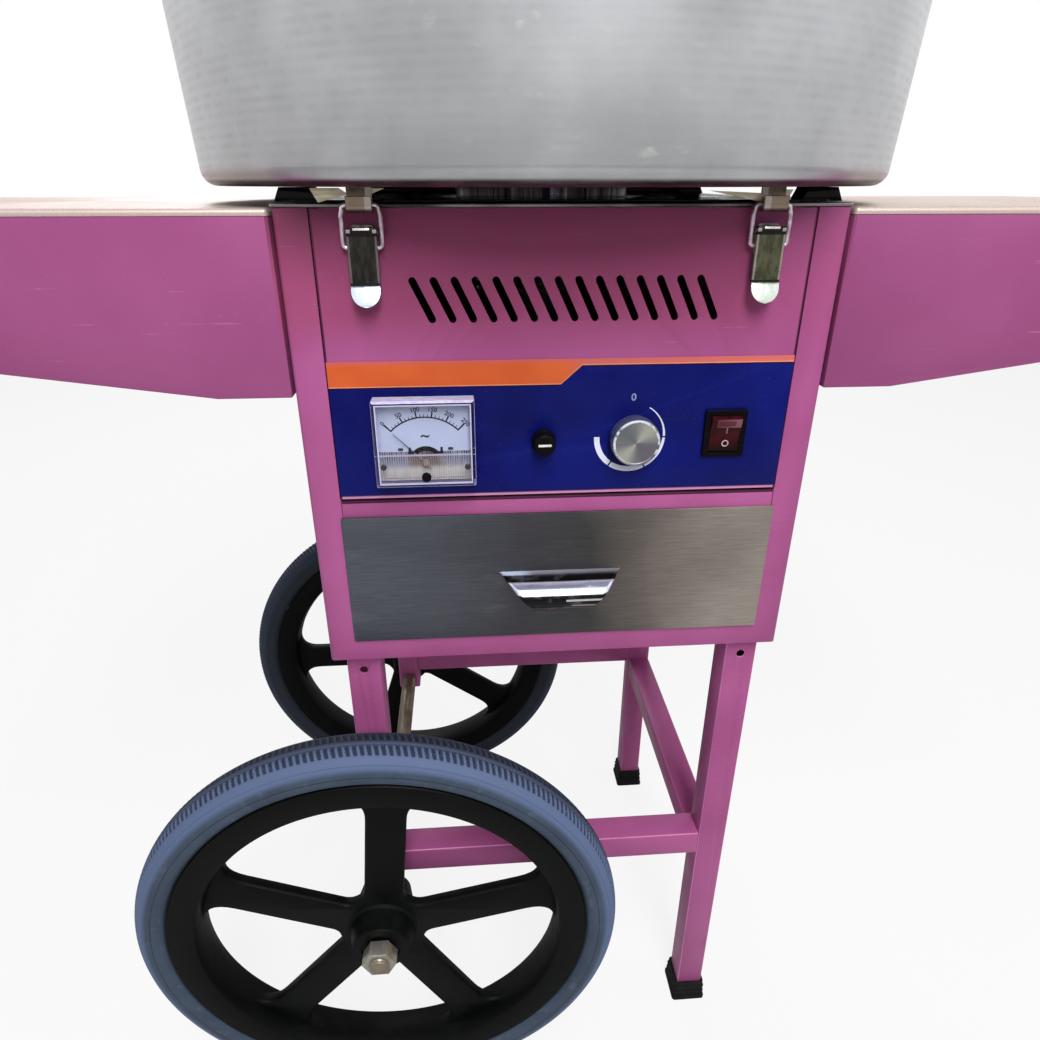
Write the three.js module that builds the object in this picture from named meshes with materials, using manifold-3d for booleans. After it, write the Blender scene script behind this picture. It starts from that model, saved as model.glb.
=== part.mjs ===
// Electric candy floss machine on a two-wheel cart, in millimetres, +Z up.
// The origin is on the floor under the middle of the cabinet. The control panel faces -Y.
import * as THREE from 'three';
import { mergeVertices } from 'three/addons/utils/BufferGeometryUtils.js';
import Module from 'manifold-3d';

const wasm = await Module();
wasm.setup();

// Fits
const FIT = 0.3;
const RUNNING = 0.1;
const SEAM = 0.6;

// Cabinet of folded sheet
const CABINET_WIDTH = 336;
const CABINET_DEPTH = 336;
const CABINET_BOTTOM = 447;
const CABINET_HEIGHT = 306.7;
const SHEET = 1.2;
const CABINET_CORNER = 3;
const STILE_WIDTH = 20.2;
const BOTTOM_RAIL_HEIGHT = 22;
const FOLD_DEPTH = 12;
const MID_RAIL_HEIGHT = 16.6;
const PANEL_GROOVE = 1.8;

// Vent slots, alike in the front panel and in the back wall
const SLOT_COUNT = 15;
const SLOT_PITCH = 12.36;
const SLOT_WIDTH = 4.6;
const SLOT_RISE = 22.3;
const SLOT_LEAN = 10.7;
const SLOT_DROP = 50.7;

// Control label and what is set in it
const LABEL_HEIGHT = 88.8;
const LABEL_HEM = 2.2;
const LABEL_THICK = 0.5;
const CONTROL_HEIGHT = 38.3;
const METER_INSET = 78.6;
const METER_WIDTH = 64;
const METER_HEIGHT = 57;
const METER_PROUD = 12;
const METER_WALL = 1.6;
const METER_BEVEL = 2.4;
const METER_BODY_RADIUS = 23;
const METER_BODY_DEPTH = 30;
const METER_PIVOT_DROP = 14;
const NEEDLE_LENGTH = 29;
const NEEDLE_REST = 45;
const FUSE_X = -13;
const FUSE_DROP = 2.6;
const FUSE_BEZEL_RADIUS = 8.8;
const FUSE_CAP_RADIUS = 7.5;
const FUSE_CAP_HEIGHT = 8;
const FUSE_BODY_RADIUS = 6;
const FUSE_BODY_DEPTH = 34;
const FUSE_STEM_RADIUS = 3.2;
const KNOB_X = 46;
const KNOB_DROP = 1.9;
const KNOB_RADIUS = 16;
const KNOB_HEIGHT = 12.5;
const KNOB_RIBS = 30;
const KNOB_RIB_DEPTH = 0.5;
const SPINDLE_RADIUS = 3;
const CONTROLLER_RADIUS = 13;
const CONTROLLER_DEPTH = 14;
const CONTROLLER_BOARD_WIDTH = 70;
const CONTROLLER_BOARD_HEIGHT = 52;
const HEAT_SINK_FINS = 6;
const SWITCH_INSET = 61;
const SWITCH_WIDTH = 28;
const SWITCH_HEIGHT = 32;
const SWITCH_BEZEL = 2.2;
const SWITCH_BODY_DEPTH = 22;
const ROCKER_WIDTH = 20.4;
const ROCKER_RADIUS = 12.9;
const ROCKER_PIN_RADIUS = 1.6;
const ROCKER_THROW = 16;

// Drawer
const DRAWER_OVERLAP = 1.2;
const DRAWER_LIFT = 17.1;
const DRAWER_FRONT_HEIGHT = 98.5;
const DRAWER_FRONT_THICK = 1.5;
const TRAY_SIDE_ROOM = 9.8;
const TRAY_LENGTH = 296;
const TRAY_HEIGHT = 80;
const TRAY_WALL = 1;
const RUNNER_SHELF = 34;
const RUNNER_HEIGHT = 30;
const HANDLE_HALF_WIDTH = 43;
const HANDLE_LIP_HALF_WIDTH = 25;
const HANDLE_DROP = 25;
const HANDLE_REACH = 21;
const HANDLE_WALL = 1.6;
const HANDLE_TOP_BELOW_FRONT_TOP = 44.6;

// Deck, motor cover drum and seat for the bowl
const DECK_THICK = 2;
const DECK_OVERHANG = 1;
const DECK_FLANGE = 9;
const DRUM_RADIUS = 66;
const DRUM_HEIGHT = 16;
const DRUM_WALL = 1.5;
const DRUM_MOUTH_RADIUS = 14;
const SEAT_THICK = 1.2;
const SEAT_INSET_X = 8;
const SEAT_INSET_Y = 10;
const SEAT_LIP = 4;
const BLOCK_INSET_X = 11;
const BLOCK_INSET_Y = 27;
const BLOCK_FOOT = 26;
const BLOCK_TOP = 18;

// Bowl
const BOWL_GAP = 8.5;
const BOWL_DIAMETER = 520;
const BOWL_HEIGHT = 182.5;
const BOWL_FLOOR_RADIUS = 244;
const BOWL_WALL = 1.5;
const BOWL_BEND = 10;
const BOWL_BEAD = 4;
const BOWL_HOLE_RADIUS = 78;
const BOWL_UPSTAND = 12;

// Motor, shaft and spinning head
const MOTOR_RADIUS = 52;
const MOTOR_LENGTH = 92;
const MOTOR_FLANGE = 130;
const MOTOR_FLANGE_THICK = 4;
const SHAFT_RADIUS = 6;
const SHAFT_IN_MOTOR = 60;
const HEAD_RADIUS = 68;
const HEAD_HEIGHT = 52;
const HEAD_LIFT = 5;
const HEAD_WALL = 2.5;
const HEAD_MOUTH_RADIUS = 31;
const HEAD_HUB_RADIUS = 10;
const HEAD_VENTS = 12;
const HEAD_VENT_HEIGHT = 16;
const HEAD_VENT_WIDTH = 8;

// Draw latches, one near each corner of the front and of the back
const LATCH_INSET = 50;
const LATCH_PIVOT_DROP = 12.7;
const LATCH_STANDOFF = 4.2;
const LATCH_SHEET = 1.2;
const LATCH_BASE_WIDTH = 13;
const LATCH_BASE_DROP = 30;
const LEVER_WIDTH = 17;
const LEVER_LENGTH = 40;
const LEVER_TIP = 12;
const LATCH_PIN_RADIUS = 1.5;
const BAIL_WIRE = 2.6;
const BAIL_WIDTH = 24.6;
const BAIL_NECK = 20.6;
const BAIL_OFFSET = 8;
const BAIL_RISE = 22.4;
const BAIL_STEPS = 26;
const KEEPER_WIDTH = 14;
const KEEPER_SHEET = 1.4;
const KEEPER_ROOM = 2;
const KEEPER_LIP = 5.5;

// Cart frame of square tube
const TUBE = 25;
const TUBE_WALL = 1.5;
const LEG_INSET = 21.5;
const TOP_PLATE = 3;
const STRETCHER_TOP = 235;
const SIDE_STRETCHER_DROP = 22;
const LEG_HOLE_RADIUS = 3.2;
const LEG_HOLE_DROP = 13;
const FOOT_WIDTH = 33;
const FOOT_HEIGHT = 24;
const FOOT_SOLE = 4;

// Axle and wheels, at the left end
const WHEEL_RADIUS = 198;
const WHEEL_STANDOFF = 46;
// The axle can slide this far in the legs, and stands slid to the front
const AXLE_PLAY = 6;
const FRONT_SPOKE_TURN = (-5.4 * Math.PI) / 180;
const REAR_SPOKE_TURN = Math.PI / 2;
const TYRE_DEPTH = 27;
const TYRE_WIDTH = 39;
const TYRE_SEAT_WIDTH = 30;
const RIM_WIDTH = 34;
const RIM_DEPTH = 25;
const HUB_RADIUS = 27;
const HUB_OUTWARD = 24;
const SPOKES = 5;
const SPOKE_WIDTH = 32;
const SPOKE_THICK = 10;
const SPOKE_FILLET = 24;
const AXLE_RADIUS = 8;
const NUT_FLATS = 24;
const NUT_THICK = 13;
const LEG_BELOW_AXLE = 13;

// Side wings
const WING_GAP = 2;
const WING_LENGTH = 328;
const WING_HEIGHT = 108.3;
const WING_FLAT = 45;
const WING_RISE_ANGLE = 8.1;
const WING_TRAY_HEIGHT = 4;
const WING_TRAY_SHEET = 1.2;
const WING_TRAY_BEND = 2.6;
const WING_SPACER_RADIUS = 6;

// Cord gland in the back wall
const GLAND_INSET = 48;
const GLAND_HEIGHT = 150;
const GLAND_RADIUS = 7;
const GLAND_FLANGE_RADIUS = 11;
const GLAND_BORE_RADIUS = 3.6;

// Facets round each kind of turned piece
const WHEEL_FACETS = 36;
const BOWL_FACETS = 40;
const HEAD_FACETS = 24;
const ROUND = 20;
const SMALL_ROUND = 12;
const PIN_FACETS = 8;
const WIRE_FACETS = 6;

// Places that follow from the sizes above
const FRONT = -CABINET_DEPTH / 2;
const SIDE = CABINET_WIDTH / 2;
const CABINET_TOP = CABINET_BOTTOM + CABINET_HEIGHT;
const OPENING_HALF = SIDE - STILE_WIDTH;
const OPENING_BOTTOM = CABINET_BOTTOM + BOTTOM_RAIL_HEIGHT;
const DRAWER_FRONT_BOTTOM = CABINET_BOTTOM + DRAWER_LIFT;
const DRAWER_FRONT_TOP = DRAWER_FRONT_BOTTOM + DRAWER_FRONT_HEIGHT;
const MID_RAIL_TOP = DRAWER_FRONT_TOP + MID_RAIL_HEIGHT - (BOTTOM_RAIL_HEIGHT - DRAWER_LIFT);
const MID_RAIL_BOTTOM = MID_RAIL_TOP - MID_RAIL_HEIGHT;
const PANEL_BOTTOM = MID_RAIL_TOP + PANEL_GROOVE;
const PANEL_TOP = CABINET_TOP - FIT;
const PANEL_HALF = OPENING_HALF - SEAM;
const LABEL_BOTTOM = PANEL_BOTTOM + LABEL_HEM;
const LABEL_FRONT = FRONT - LABEL_THICK;
const CONTROL_Z = LABEL_BOTTOM + CONTROL_HEIGHT;
const FUSE_Z = CONTROL_Z - FUSE_DROP;
const KNOB_Z = CONTROL_Z - KNOB_DROP;
const METER_X = METER_INSET - SIDE;
const SWITCH_X = SIDE - SWITCH_INSET;
const TRAY_HALF_WIDTH = OPENING_HALF - TRAY_SIDE_ROOM;
const LATCH_X = SIDE - LATCH_INSET;
const GLAND_X = SIDE - GLAND_INSET;
const LEG_X = SIDE - LEG_INSET;
const LEG_Y = -FRONT - LEG_INSET;
const WHEEL_PLANE = LEG_Y + WHEEL_STANDOFF + AXLE_PLAY / 2;
const DECK_BOTTOM = CABINET_TOP + FIT;
const DECK_TOP = DECK_BOTTOM + DECK_THICK;
const BOWL_BOTTOM = DECK_TOP + BOWL_GAP;
const HEAD_BOTTOM = DECK_TOP + DRUM_HEIGHT + HEAD_LIFT;
const TOP_PLATE_TOP = CABINET_BOTTOM - FIT;
const LEG_TOP = TOP_PLATE_TOP - TOP_PLATE - FIT;
const STRETCHER_Z = STRETCHER_TOP - TUBE / 2;

// Materials
function finish(colour, roughness, metalness) {
  return new THREE.MeshStandardMaterial({ color: colour, roughness, metalness });
}

const pinkPaint = finish(0xa45489, 0.38, 0.0);
const brushedSteel = finish(0x9b9a96, 0.34, 0.95);
const polishedSteel = finish(0xc9c9c6, 0.12, 1.0);
const spunAluminium = finish(0xc4c6c8, 0.3, 1.0);
const latchSteel = finish(0x8f8c86, 0.25, 1.0);
const axleSteel = finish(0x6d645a, 0.55, 0.8);
const greyRubber = finish(0x63748f, 0.75, 0.0);
const blackPlastic = finish(0x131519, 0.45, 0.0);
const blackRubber = finish(0x141414, 0.8, 0.0);
const navyPrint = finish(0x11195f, 0.42, 0.0);
const clearPlastic = finish(0xdfe4ee, 0.1, 0.0);
const whiteDial = finish(0xe9ecf2, 0.5, 0.0);
const redRocker = finish(0x5d1418, 0.3, 0.0);
const motorIron = finish(0x4a4d50, 0.5, 0.6);
const boardGreen = finish(0x2f5a3a, 0.6, 0.1);

// Closed solids from geometry, and geometry from solids
function solid(geometry) {
  const plain = geometry.clone();
  plain.deleteAttribute('normal');
  plain.deleteAttribute('uv');
  const merged = mergeVertices(plain, 1e-4);
  const corner = merged.index.array;
  const place = merged.attributes.position;
  const kept = [];
  let volume = 0;
  const a = new THREE.Vector3();
  const b = new THREE.Vector3();
  const c = new THREE.Vector3();
  for (let i = 0; i < corner.length; i += 3) {
    const [p, q, r] = [corner[i], corner[i + 1], corner[i + 2]];
    if (p === q || q === r || r === p) continue;
    kept.push(p, q, r);
    a.fromBufferAttribute(place, p);
    b.fromBufferAttribute(place, q);
    c.fromBufferAttribute(place, r);
    volume += a.dot(b.cross(c));
  }
  if (volume < 0) kept.reverse();
  const mesh = new wasm.Mesh({
    numProp: 3,
    vertProperties: new Float32Array(place.array),
    triVerts: new Uint32Array(kept),
  });
  return new wasm.Manifold(mesh);
}

function geometryOf(shape) {
  const mesh = shape.getMesh();
  const geometry = new THREE.BufferGeometry();
  geometry.setAttribute('position', new THREE.BufferAttribute(mesh.vertProperties, 3));
  geometry.setIndex(new THREE.BufferAttribute(mesh.triVerts, 1));
  geometry.computeVertexNormals();
  return geometry;
}

function piece(name, shape, material, x = 0, y = 0, z = 0) {
  const mesh = new THREE.Mesh(geometryOf(shape), material);
  mesh.name = name;
  mesh.position.set(x, y, z);
  return mesh;
}

function box(x0, x1, y0, y1, z0, z1) {
  const geometry = new THREE.BoxGeometry(x1 - x0, y1 - y0, z1 - z0);
  geometry.translate((x0 + x1) / 2, (y0 + y1) / 2, (z0 + z1) / 2);
  return solid(geometry);
}

// A flat outline drawn in X and Y, raised from z0 to z1
function raised(shape, z0, z1, curveSegments = 6) {
  const geometry = new THREE.ExtrudeGeometry(shape, { depth: z1 - z0, bevelEnabled: false, curveSegments });
  geometry.translate(0, 0, z0);
  return solid(geometry);
}

// A flat outline drawn in X and Z, with its thickness from y0 to y1
function upright(shape, y0, y1, curveSegments = 6) {
  const geometry = new THREE.ExtrudeGeometry(shape, { depth: y1 - y0, bevelEnabled: false, curveSegments });
  geometry.rotateX(Math.PI / 2);
  geometry.translate(0, y1, 0);
  return solid(geometry);
}

// A flat outline drawn in Y and Z, with its thickness from x0 to x1
function sideways(shape, x0, x1, curveSegments = 6) {
  const geometry = new THREE.ExtrudeGeometry(shape, { depth: x1 - x0, bevelEnabled: false, curveSegments });
  geometry.rotateX(Math.PI / 2);
  geometry.rotateZ(Math.PI / 2);
  geometry.translate(x0, 0, 0);
  return solid(geometry);
}

// A turned body about Z, from [radius, height] pairs
function turned(profile, segments = ROUND) {
  const geometry = new THREE.LatheGeometry(profile.map(([r, h]) => new THREE.Vector2(r, h)), segments);
  geometry.rotateX(Math.PI / 2);
  return solid(geometry);
}

function rod(radius, z0, z1, segments = SMALL_ROUND) {
  return turned([[0, z0], [radius, z0], [radius, z1], [0, z1]], segments);
}

function outline(points) {
  return new THREE.Shape(points.map(([u, v]) => new THREE.Vector2(u, v)));
}

function rectangle(u0, u1, v0, v1) {
  return outline([[u0, v0], [u1, v0], [u1, v1], [u0, v1]]);
}

function circle(radius, count) {
  const turn = (2 * Math.PI) / count;
  return Array.from({ length: count }, (_, i) => [radius * Math.cos(i * turn), radius * Math.sin(i * turn)]);
}

function roundedRectangle(halfU, halfV, radius) {
  const shape = new THREE.Shape();
  shape.absarc(halfU - radius, halfV - radius, radius, 0, Math.PI / 2);
  shape.absarc(-halfU + radius, halfV - radius, radius, Math.PI / 2, Math.PI);
  shape.absarc(-halfU + radius, -halfV + radius, radius, Math.PI, 1.5 * Math.PI);
  shape.absarc(halfU - radius, -halfV + radius, radius, 1.5 * Math.PI, 2 * Math.PI);
  shape.closePath();
  return shape;
}

// Square tube standing from z0 to z1, or lying along X or Y
function squareTube(length) {
  const half = TUBE / 2;
  const shape = roundedRectangle(half, half, 2);
  shape.holes.push(rectangle(TUBE_WALL - half, half - TUBE_WALL, TUBE_WALL - half, half - TUBE_WALL));
  return raised(shape, 0, length, 1);
}

// Cart frame
function leg(name, side, end, bottom) {
  const boltHole = rod(LEG_HOLE_RADIUS, -TUBE, TUBE, 12).rotate([90, 0, 0]);
  const length = LEG_TOP - bottom;
  let shape = squareTube(length).subtract(boltHole.translate([0, 0, length - LEG_HOLE_DROP + FIT]));
  if (side < 0) {
    const axleHole = rod(AXLE_RADIUS + FIT, -TUBE, TUBE, ROUND).rotate([90, 0, 0]);
    shape = shape.subtract(axleHole.translate([0, 0, WHEEL_RADIUS - bottom]));
  }
  return piece(name, shape, pinkPaint, side * LEG_X, end * LEG_Y, bottom);
}

function foot(name, end) {
  const pocket = TUBE / 2 + FIT;
  const block = raised(roundedRectangle(FOOT_WIDTH / 2, FOOT_WIDTH / 2, 3), 0, FOOT_HEIGHT, 3);
  const shape = block.subtract(box(-pocket, pocket, -pocket, pocket, FOOT_SOLE, FOOT_HEIGHT + 1));
  return piece(name, shape, blackRubber, LEG_X, end * LEG_Y, 0);
}

function stretcherAlongX(name, end) {
  const span = 2 * LEG_X - TUBE - 2 * FIT;
  const shape = squareTube(span).rotate([0, 90, 0]);
  return piece(name, shape, pinkPaint, -span / 2, end * LEG_Y, STRETCHER_Z);
}

function stretcherAlongY(name) {
  const span = 2 * LEG_Y - TUBE - 2 * FIT;
  const shape = squareTube(span).rotate([-90, 0, 0]);
  return piece(name, shape, pinkPaint, LEG_X, -span / 2, STRETCHER_Z - SIDE_STRETCHER_DROP);
}

function topPlate() {
  const halfX = LEG_X + TUBE / 2;
  const halfY = LEG_Y + TUBE / 2;
  const plate = raised(roundedRectangle(halfX, halfY, 4), 0, TOP_PLATE, 3);
  return piece('cart_top_plate', plate, pinkPaint, 0, 0, TOP_PLATE_TOP - TOP_PLATE);
}

function cartFrame() {
  const group = new THREE.Group();
  const legFloor = FOOT_SOLE + FIT;
  const axleLegFloor = WHEEL_RADIUS - LEG_BELOW_AXLE;
  group.add(leg('leg_front_right', 1, -1, legFloor));
  group.add(leg('leg_rear_right', 1, 1, legFloor));
  group.add(leg('leg_front_left', -1, -1, axleLegFloor));
  group.add(leg('leg_rear_left', -1, 1, axleLegFloor));
  group.add(foot('foot_front', -1));
  group.add(foot('foot_rear', 1));
  group.add(stretcherAlongX('stretcher_front', -1));
  group.add(stretcherAlongX('stretcher_rear', 1));
  group.add(stretcherAlongY('stretcher_right'));
  group.add(topPlate());
  return group;
}

// Wheels: each is drawn about Z with its outer side up, then its group is laid over
function tyre(name) {
  const inner = WHEEL_RADIUS - TYRE_DEPTH;
  const halfSeat = TYRE_SEAT_WIDTH / 2;
  const profile = [[inner, -halfSeat]];
  const steps = 8;
  for (let i = 0; i <= steps; i += 1) {
    const turn = -Math.PI / 2 + (i / steps) * Math.PI;
    const bulge = Math.abs(Math.sin(turn)) ** 0.9;
    const radius = WHEEL_RADIUS - TYRE_DEPTH * 0.72 * (1 - Math.cos(turn) ** 0.75);
    profile.push([radius, (Math.sign(turn) * bulge * TYRE_WIDTH) / 2]);
  }
  profile.push([inner, halfSeat], [inner, -halfSeat]);
  return piece(name, turned(profile, WHEEL_FACETS), greyRubber);
}

function spokeWindow(index) {
  const outer = WHEEL_RADIUS - TYRE_DEPTH - RIM_DEPTH;
  const inner = HUB_RADIUS + 10;
  const half = SPOKE_WIDTH / 2;
  const sector = Math.PI / SPOKES;
  const middle = Math.PI / 2 + (2 * index + 1) * sector;
  const edge = (radius) => sector - Math.asin(half / radius);
  const at = (radius, angle) => [radius * Math.cos(middle + angle), radius * Math.sin(middle + angle)];
  const fillet = SPOKE_FILLET / outer;
  const path = new THREE.Path();
  path.moveTo(...at(outer - SPOKE_FILLET, -edge(outer - SPOKE_FILLET)));
  path.quadraticCurveTo(...at(outer, -edge(outer)), ...at(outer, -edge(outer) + fillet));
  for (let i = 1; i <= 4; i += 1) {
    const share = -1 + i / 2;
    path.lineTo(...at(outer, share * (edge(outer) - fillet)));
  }
  path.quadraticCurveTo(...at(outer, edge(outer)), ...at(outer - SPOKE_FILLET, edge(outer - SPOKE_FILLET)));
  path.lineTo(...at(inner + 6, edge(inner + 6)));
  path.quadraticCurveTo(...at(inner, edge(inner)), ...at(inner, 0));
  path.quadraticCurveTo(...at(inner, -edge(inner)), ...at(inner + 6, -edge(inner + 6)));
  path.closePath();
  return path;
}

function rim(name) {
  const outer = WHEEL_RADIUS - TYRE_DEPTH - FIT;
  const inner = outer - RIM_DEPTH + FIT;
  const halfWidth = RIM_WIDTH / 2;
  const halfSpoke = SPOKE_THICK / 2;
  const band = turned([
    [inner, -halfSpoke], [inner + 3, -halfWidth], [outer, -halfWidth],
    [outer, halfWidth], [inner + 3, halfWidth], [inner, halfSpoke], [inner, -halfSpoke],
  ], WHEEL_FACETS);
  const disc = outline(circle(inner + 4, WHEEL_FACETS));
  for (let i = 0; i < SPOKES; i += 1) disc.holes.push(spokeWindow(i));
  const spokes = raised(disc, -halfSpoke, halfSpoke, 3);
  const hubInward = WHEEL_STANDOFF - TUBE / 2 - FIT;
  const hub = turned([
    [0, -hubInward], [HUB_RADIUS - 6, -hubInward], [HUB_RADIUS, -halfSpoke], [HUB_RADIUS, halfSpoke],
    [HUB_RADIUS - 4, HUB_OUTWARD], [0, HUB_OUTWARD],
  ]);
  const bore = rod(AXLE_RADIUS + FIT, -hubInward - 1, HUB_OUTWARD + 1, ROUND);
  return piece(name, band.add(spokes).add(hub).subtract(bore), blackPlastic);
}

function wheel(place, end, spokeTurn) {
  const group = new THREE.Group();
  group.add(tyre(`tyre_${place}`));
  group.add(rim(`rim_${place}`));
  group.rotation.set(end < 0 ? Math.PI / 2 : -Math.PI / 2, 0, 0);
  group.children.forEach((mesh) => mesh.rotation.set(0, 0, spokeTurn));
  group.position.set(-LEG_X, end * WHEEL_PLANE, WHEEL_RADIUS);
  return group;
}

function axle() {
  const half = WHEEL_PLANE + HUB_OUTWARD + FIT + NUT_THICK + 3;
  const shape = turned([
    [0, -half], [AXLE_RADIUS - 1, -half], [AXLE_RADIUS, 1 - half], [AXLE_RADIUS, half - 1],
    [AXLE_RADIUS - 1, half], [0, half],
  ], ROUND).rotate([90, 0, 0]);
  return piece('axle', shape, axleSteel, -LEG_X, 0, WHEEL_RADIUS);
}

function axleNut(name, end) {
  const corner = NUT_FLATS / Math.sqrt(3);
  const nut = upright(outline(circle(corner, 6)), -NUT_THICK / 2, NUT_THICK / 2);
  const bore = rod(AXLE_RADIUS + FIT, -NUT_THICK, NUT_THICK, ROUND).rotate([90, 0, 0]);
  const middle = WHEEL_PLANE + HUB_OUTWARD + FIT + NUT_THICK / 2;
  return piece(name, nut.subtract(bore), axleSteel, -LEG_X, end * middle, WHEEL_RADIUS);
}

function runningGear() {
  const group = new THREE.Group();
  group.add(axle());
  group.add(wheel('front', -1, FRONT_SPOKE_TURN));
  group.add(wheel('rear', 1, REAR_SPOKE_TURN));
  group.add(axleNut('axle_nut_front', -1));
  group.add(axleNut('axle_nut_rear', 1));
  group.position.set(0, -AXLE_PLAY / 2, 0);
  return group;
}

// Side wings: a folded apron with a steel tray top
function wingApron(name, side) {
  const top = CABINET_TOP - WING_TRAY_HEIGHT - FIT;
  const bottom = CABINET_TOP - WING_HEIGHT;
  const near = SIDE + WING_GAP;
  const far = near + WING_LENGTH;
  const rise = (WING_LENGTH - WING_FLAT) * Math.tan((WING_RISE_ANGLE * Math.PI) / 180);
  const face = outline([
    [near, bottom], [near + WING_FLAT, bottom], [far, bottom + rise], [far, top], [near, top],
  ]);
  const block = upright(face, FRONT, -FRONT);
  const hollow = box(near + SHEET, far - SHEET, FRONT + SHEET, -FRONT - SHEET, bottom - 1, top + 1);
  let shape = block.subtract(hollow);
  for (const y of [-1, 1]) {
    for (const z of [bottom + 2 * WING_SPACER_RADIUS, top - 2 * WING_SPACER_RADIUS]) {
      const spacer = rod(WING_SPACER_RADIUS, 0, WING_GAP - FIT + SHEET / 2, 16).rotate([0, 90, 0]);
      shape = shape.add(spacer.translate([SIDE + FIT, y * LEG_Y, z]));
    }
  }
  if (side < 0) shape = shape.mirror([1, 0, 0]);
  return piece(name, shape, pinkPaint);
}

function wingTray(name, side) {
  const half = WING_LENGTH / 2;
  const bend = WING_TRAY_BEND;
  const fold = bend * (1 - Math.SQRT1_2);
  const outer = raised(roundedRectangle(half, -FRONT, bend), 0, WING_TRAY_HEIGHT - bend, 2)
    .add(raised(roundedRectangle(half - fold, -FRONT - fold, bend), 0, WING_TRAY_HEIGHT - fold, 2))
    .add(raised(roundedRectangle(half - bend, -FRONT - bend, bend), 0, WING_TRAY_HEIGHT, 2));
  const wall = WING_TRAY_SHEET + fold;
  const underside = WING_TRAY_HEIGHT - WING_TRAY_SHEET;
  const inside = raised(roundedRectangle(half - wall, -FRONT - wall, bend), -1, underside, 2);
  const x = side * (SIDE + WING_GAP + half);
  return piece(name, outer.subtract(inside), brushedSteel, x, 0, CABINET_TOP - WING_TRAY_HEIGHT);
}

// A row of leaning vent slots, cut straight through along Y
function ventSlots(z) {
  const half = SLOT_WIDTH / 2;
  const length = Math.hypot(SLOT_RISE, SLOT_LEAN) / 2;
  const slot = new THREE.Shape();
  slot.absarc(0, length, half, 0, Math.PI);
  slot.absarc(0, -length, half, Math.PI, 2 * Math.PI);
  slot.closePath();
  const lean = Math.atan2(SLOT_LEAN, SLOT_RISE);
  const cuts = [];
  for (let i = 0; i < SLOT_COUNT; i += 1) {
    const x = (i - (SLOT_COUNT - 1) / 2) * SLOT_PITCH;
    const cut = upright(slot, -2 * SHEET, 2 * SHEET, 2);
    cuts.push(cut.rotate([0, (-lean * 180) / Math.PI, 0]).translate([x, 0, z]));
  }
  return wasm.Manifold.union(cuts);
}

// Cabinet shell: sides, back, stiles and bottom rail folded from one sheet
function cabinetWrap() {
  const walls = roundedRectangle(SIDE, -FRONT, CABINET_CORNER);
  walls.holes.push(roundedRectangle(SIDE - SHEET, -FRONT - SHEET, CABINET_CORNER - SHEET));
  const half = OPENING_HALF;
  const window = box(-half, half, FRONT - 1, FRONT + 3 * SHEET, OPENING_BOTTOM, CABINET_TOP + 1);
  const slots = ventSlots(CABINET_TOP - SLOT_DROP).translate([0, -FRONT, 0]);
  const glandHole = rod(GLAND_RADIUS + FIT, -10, 10).rotate([90, 0, 0]);
  const shape = raised(walls, CABINET_BOTTOM, CABINET_TOP, 3)
    .subtract(window)
    .subtract(slots)
    .subtract(glandHole.translate([GLAND_X, -FRONT, CABINET_BOTTOM + GLAND_HEIGHT]));
  return piece('cabinet_wrap', shape, pinkPaint);
}

function cabinetFloor() {
  const halfX = SIDE - SHEET - FIT;
  const halfY = -FRONT - SHEET - FIT;
  const pan = raised(roundedRectangle(halfX, halfY, 2), 0, FOLD_DEPTH, 2);
  const inside = raised(roundedRectangle(halfX - SHEET, halfY - SHEET, 1), SHEET, FOLD_DEPTH + 1, 2);
  return piece('cabinet_floor', pan.subtract(inside), pinkPaint, 0, 0, CABINET_BOTTOM);
}

function midRail() {
  const half = OPENING_HALF - FIT;
  const foldEnd = FRONT + FOLD_DEPTH;
  const face = outline([
    [FRONT, MID_RAIL_BOTTOM], [foldEnd, MID_RAIL_BOTTOM], [foldEnd, MID_RAIL_BOTTOM + SHEET],
    [FRONT + SHEET, MID_RAIL_BOTTOM + SHEET], [FRONT + SHEET, MID_RAIL_TOP - SHEET],
    [foldEnd, MID_RAIL_TOP - SHEET], [foldEnd, MID_RAIL_TOP], [FRONT, MID_RAIL_TOP],
  ]);
  return piece('mid_rail', sideways(face, -half, half), pinkPaint);
}

// The holes that the controls go through, shared by the panel and its label
function controlHoles() {
  const hole = (radius, x, z) => rod(radius, -8, 8, ROUND).rotate([90, 0, 0]).translate([x, FRONT, z]);
  const bodyWidth = SWITCH_WIDTH / 2 - 2 + FIT;
  const bodyHeight = SWITCH_HEIGHT / 2 - 1 + FIT;
  return hole(METER_BODY_RADIUS + FIT, METER_X, CONTROL_Z)
    .add(hole(FUSE_BODY_RADIUS + FIT, FUSE_X, FUSE_Z))
    .add(hole(SPINDLE_RADIUS + 1, KNOB_X, KNOB_Z))
    .add(box(SWITCH_X - bodyWidth, SWITCH_X + bodyWidth, FRONT - 8, FRONT + 8,
      CONTROL_Z - bodyHeight, CONTROL_Z + bodyHeight));
}

function frontPanel() {
  const face = outline([
    [-PANEL_HALF, FRONT], [PANEL_HALF, FRONT], [PANEL_HALF, FRONT + FOLD_DEPTH],
    [PANEL_HALF - SHEET, FRONT + FOLD_DEPTH], [PANEL_HALF - SHEET, FRONT + SHEET],
    [SHEET - PANEL_HALF, FRONT + SHEET], [SHEET - PANEL_HALF, FRONT + FOLD_DEPTH],
    [-PANEL_HALF, FRONT + FOLD_DEPTH],
  ]);
  const shape = raised(face, PANEL_BOTTOM, PANEL_TOP)
    .subtract(ventSlots(CABINET_TOP - SLOT_DROP).translate([0, FRONT, 0]))
    .subtract(controlHoles());
  return piece('front_panel', shape, pinkPaint);
}

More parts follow.
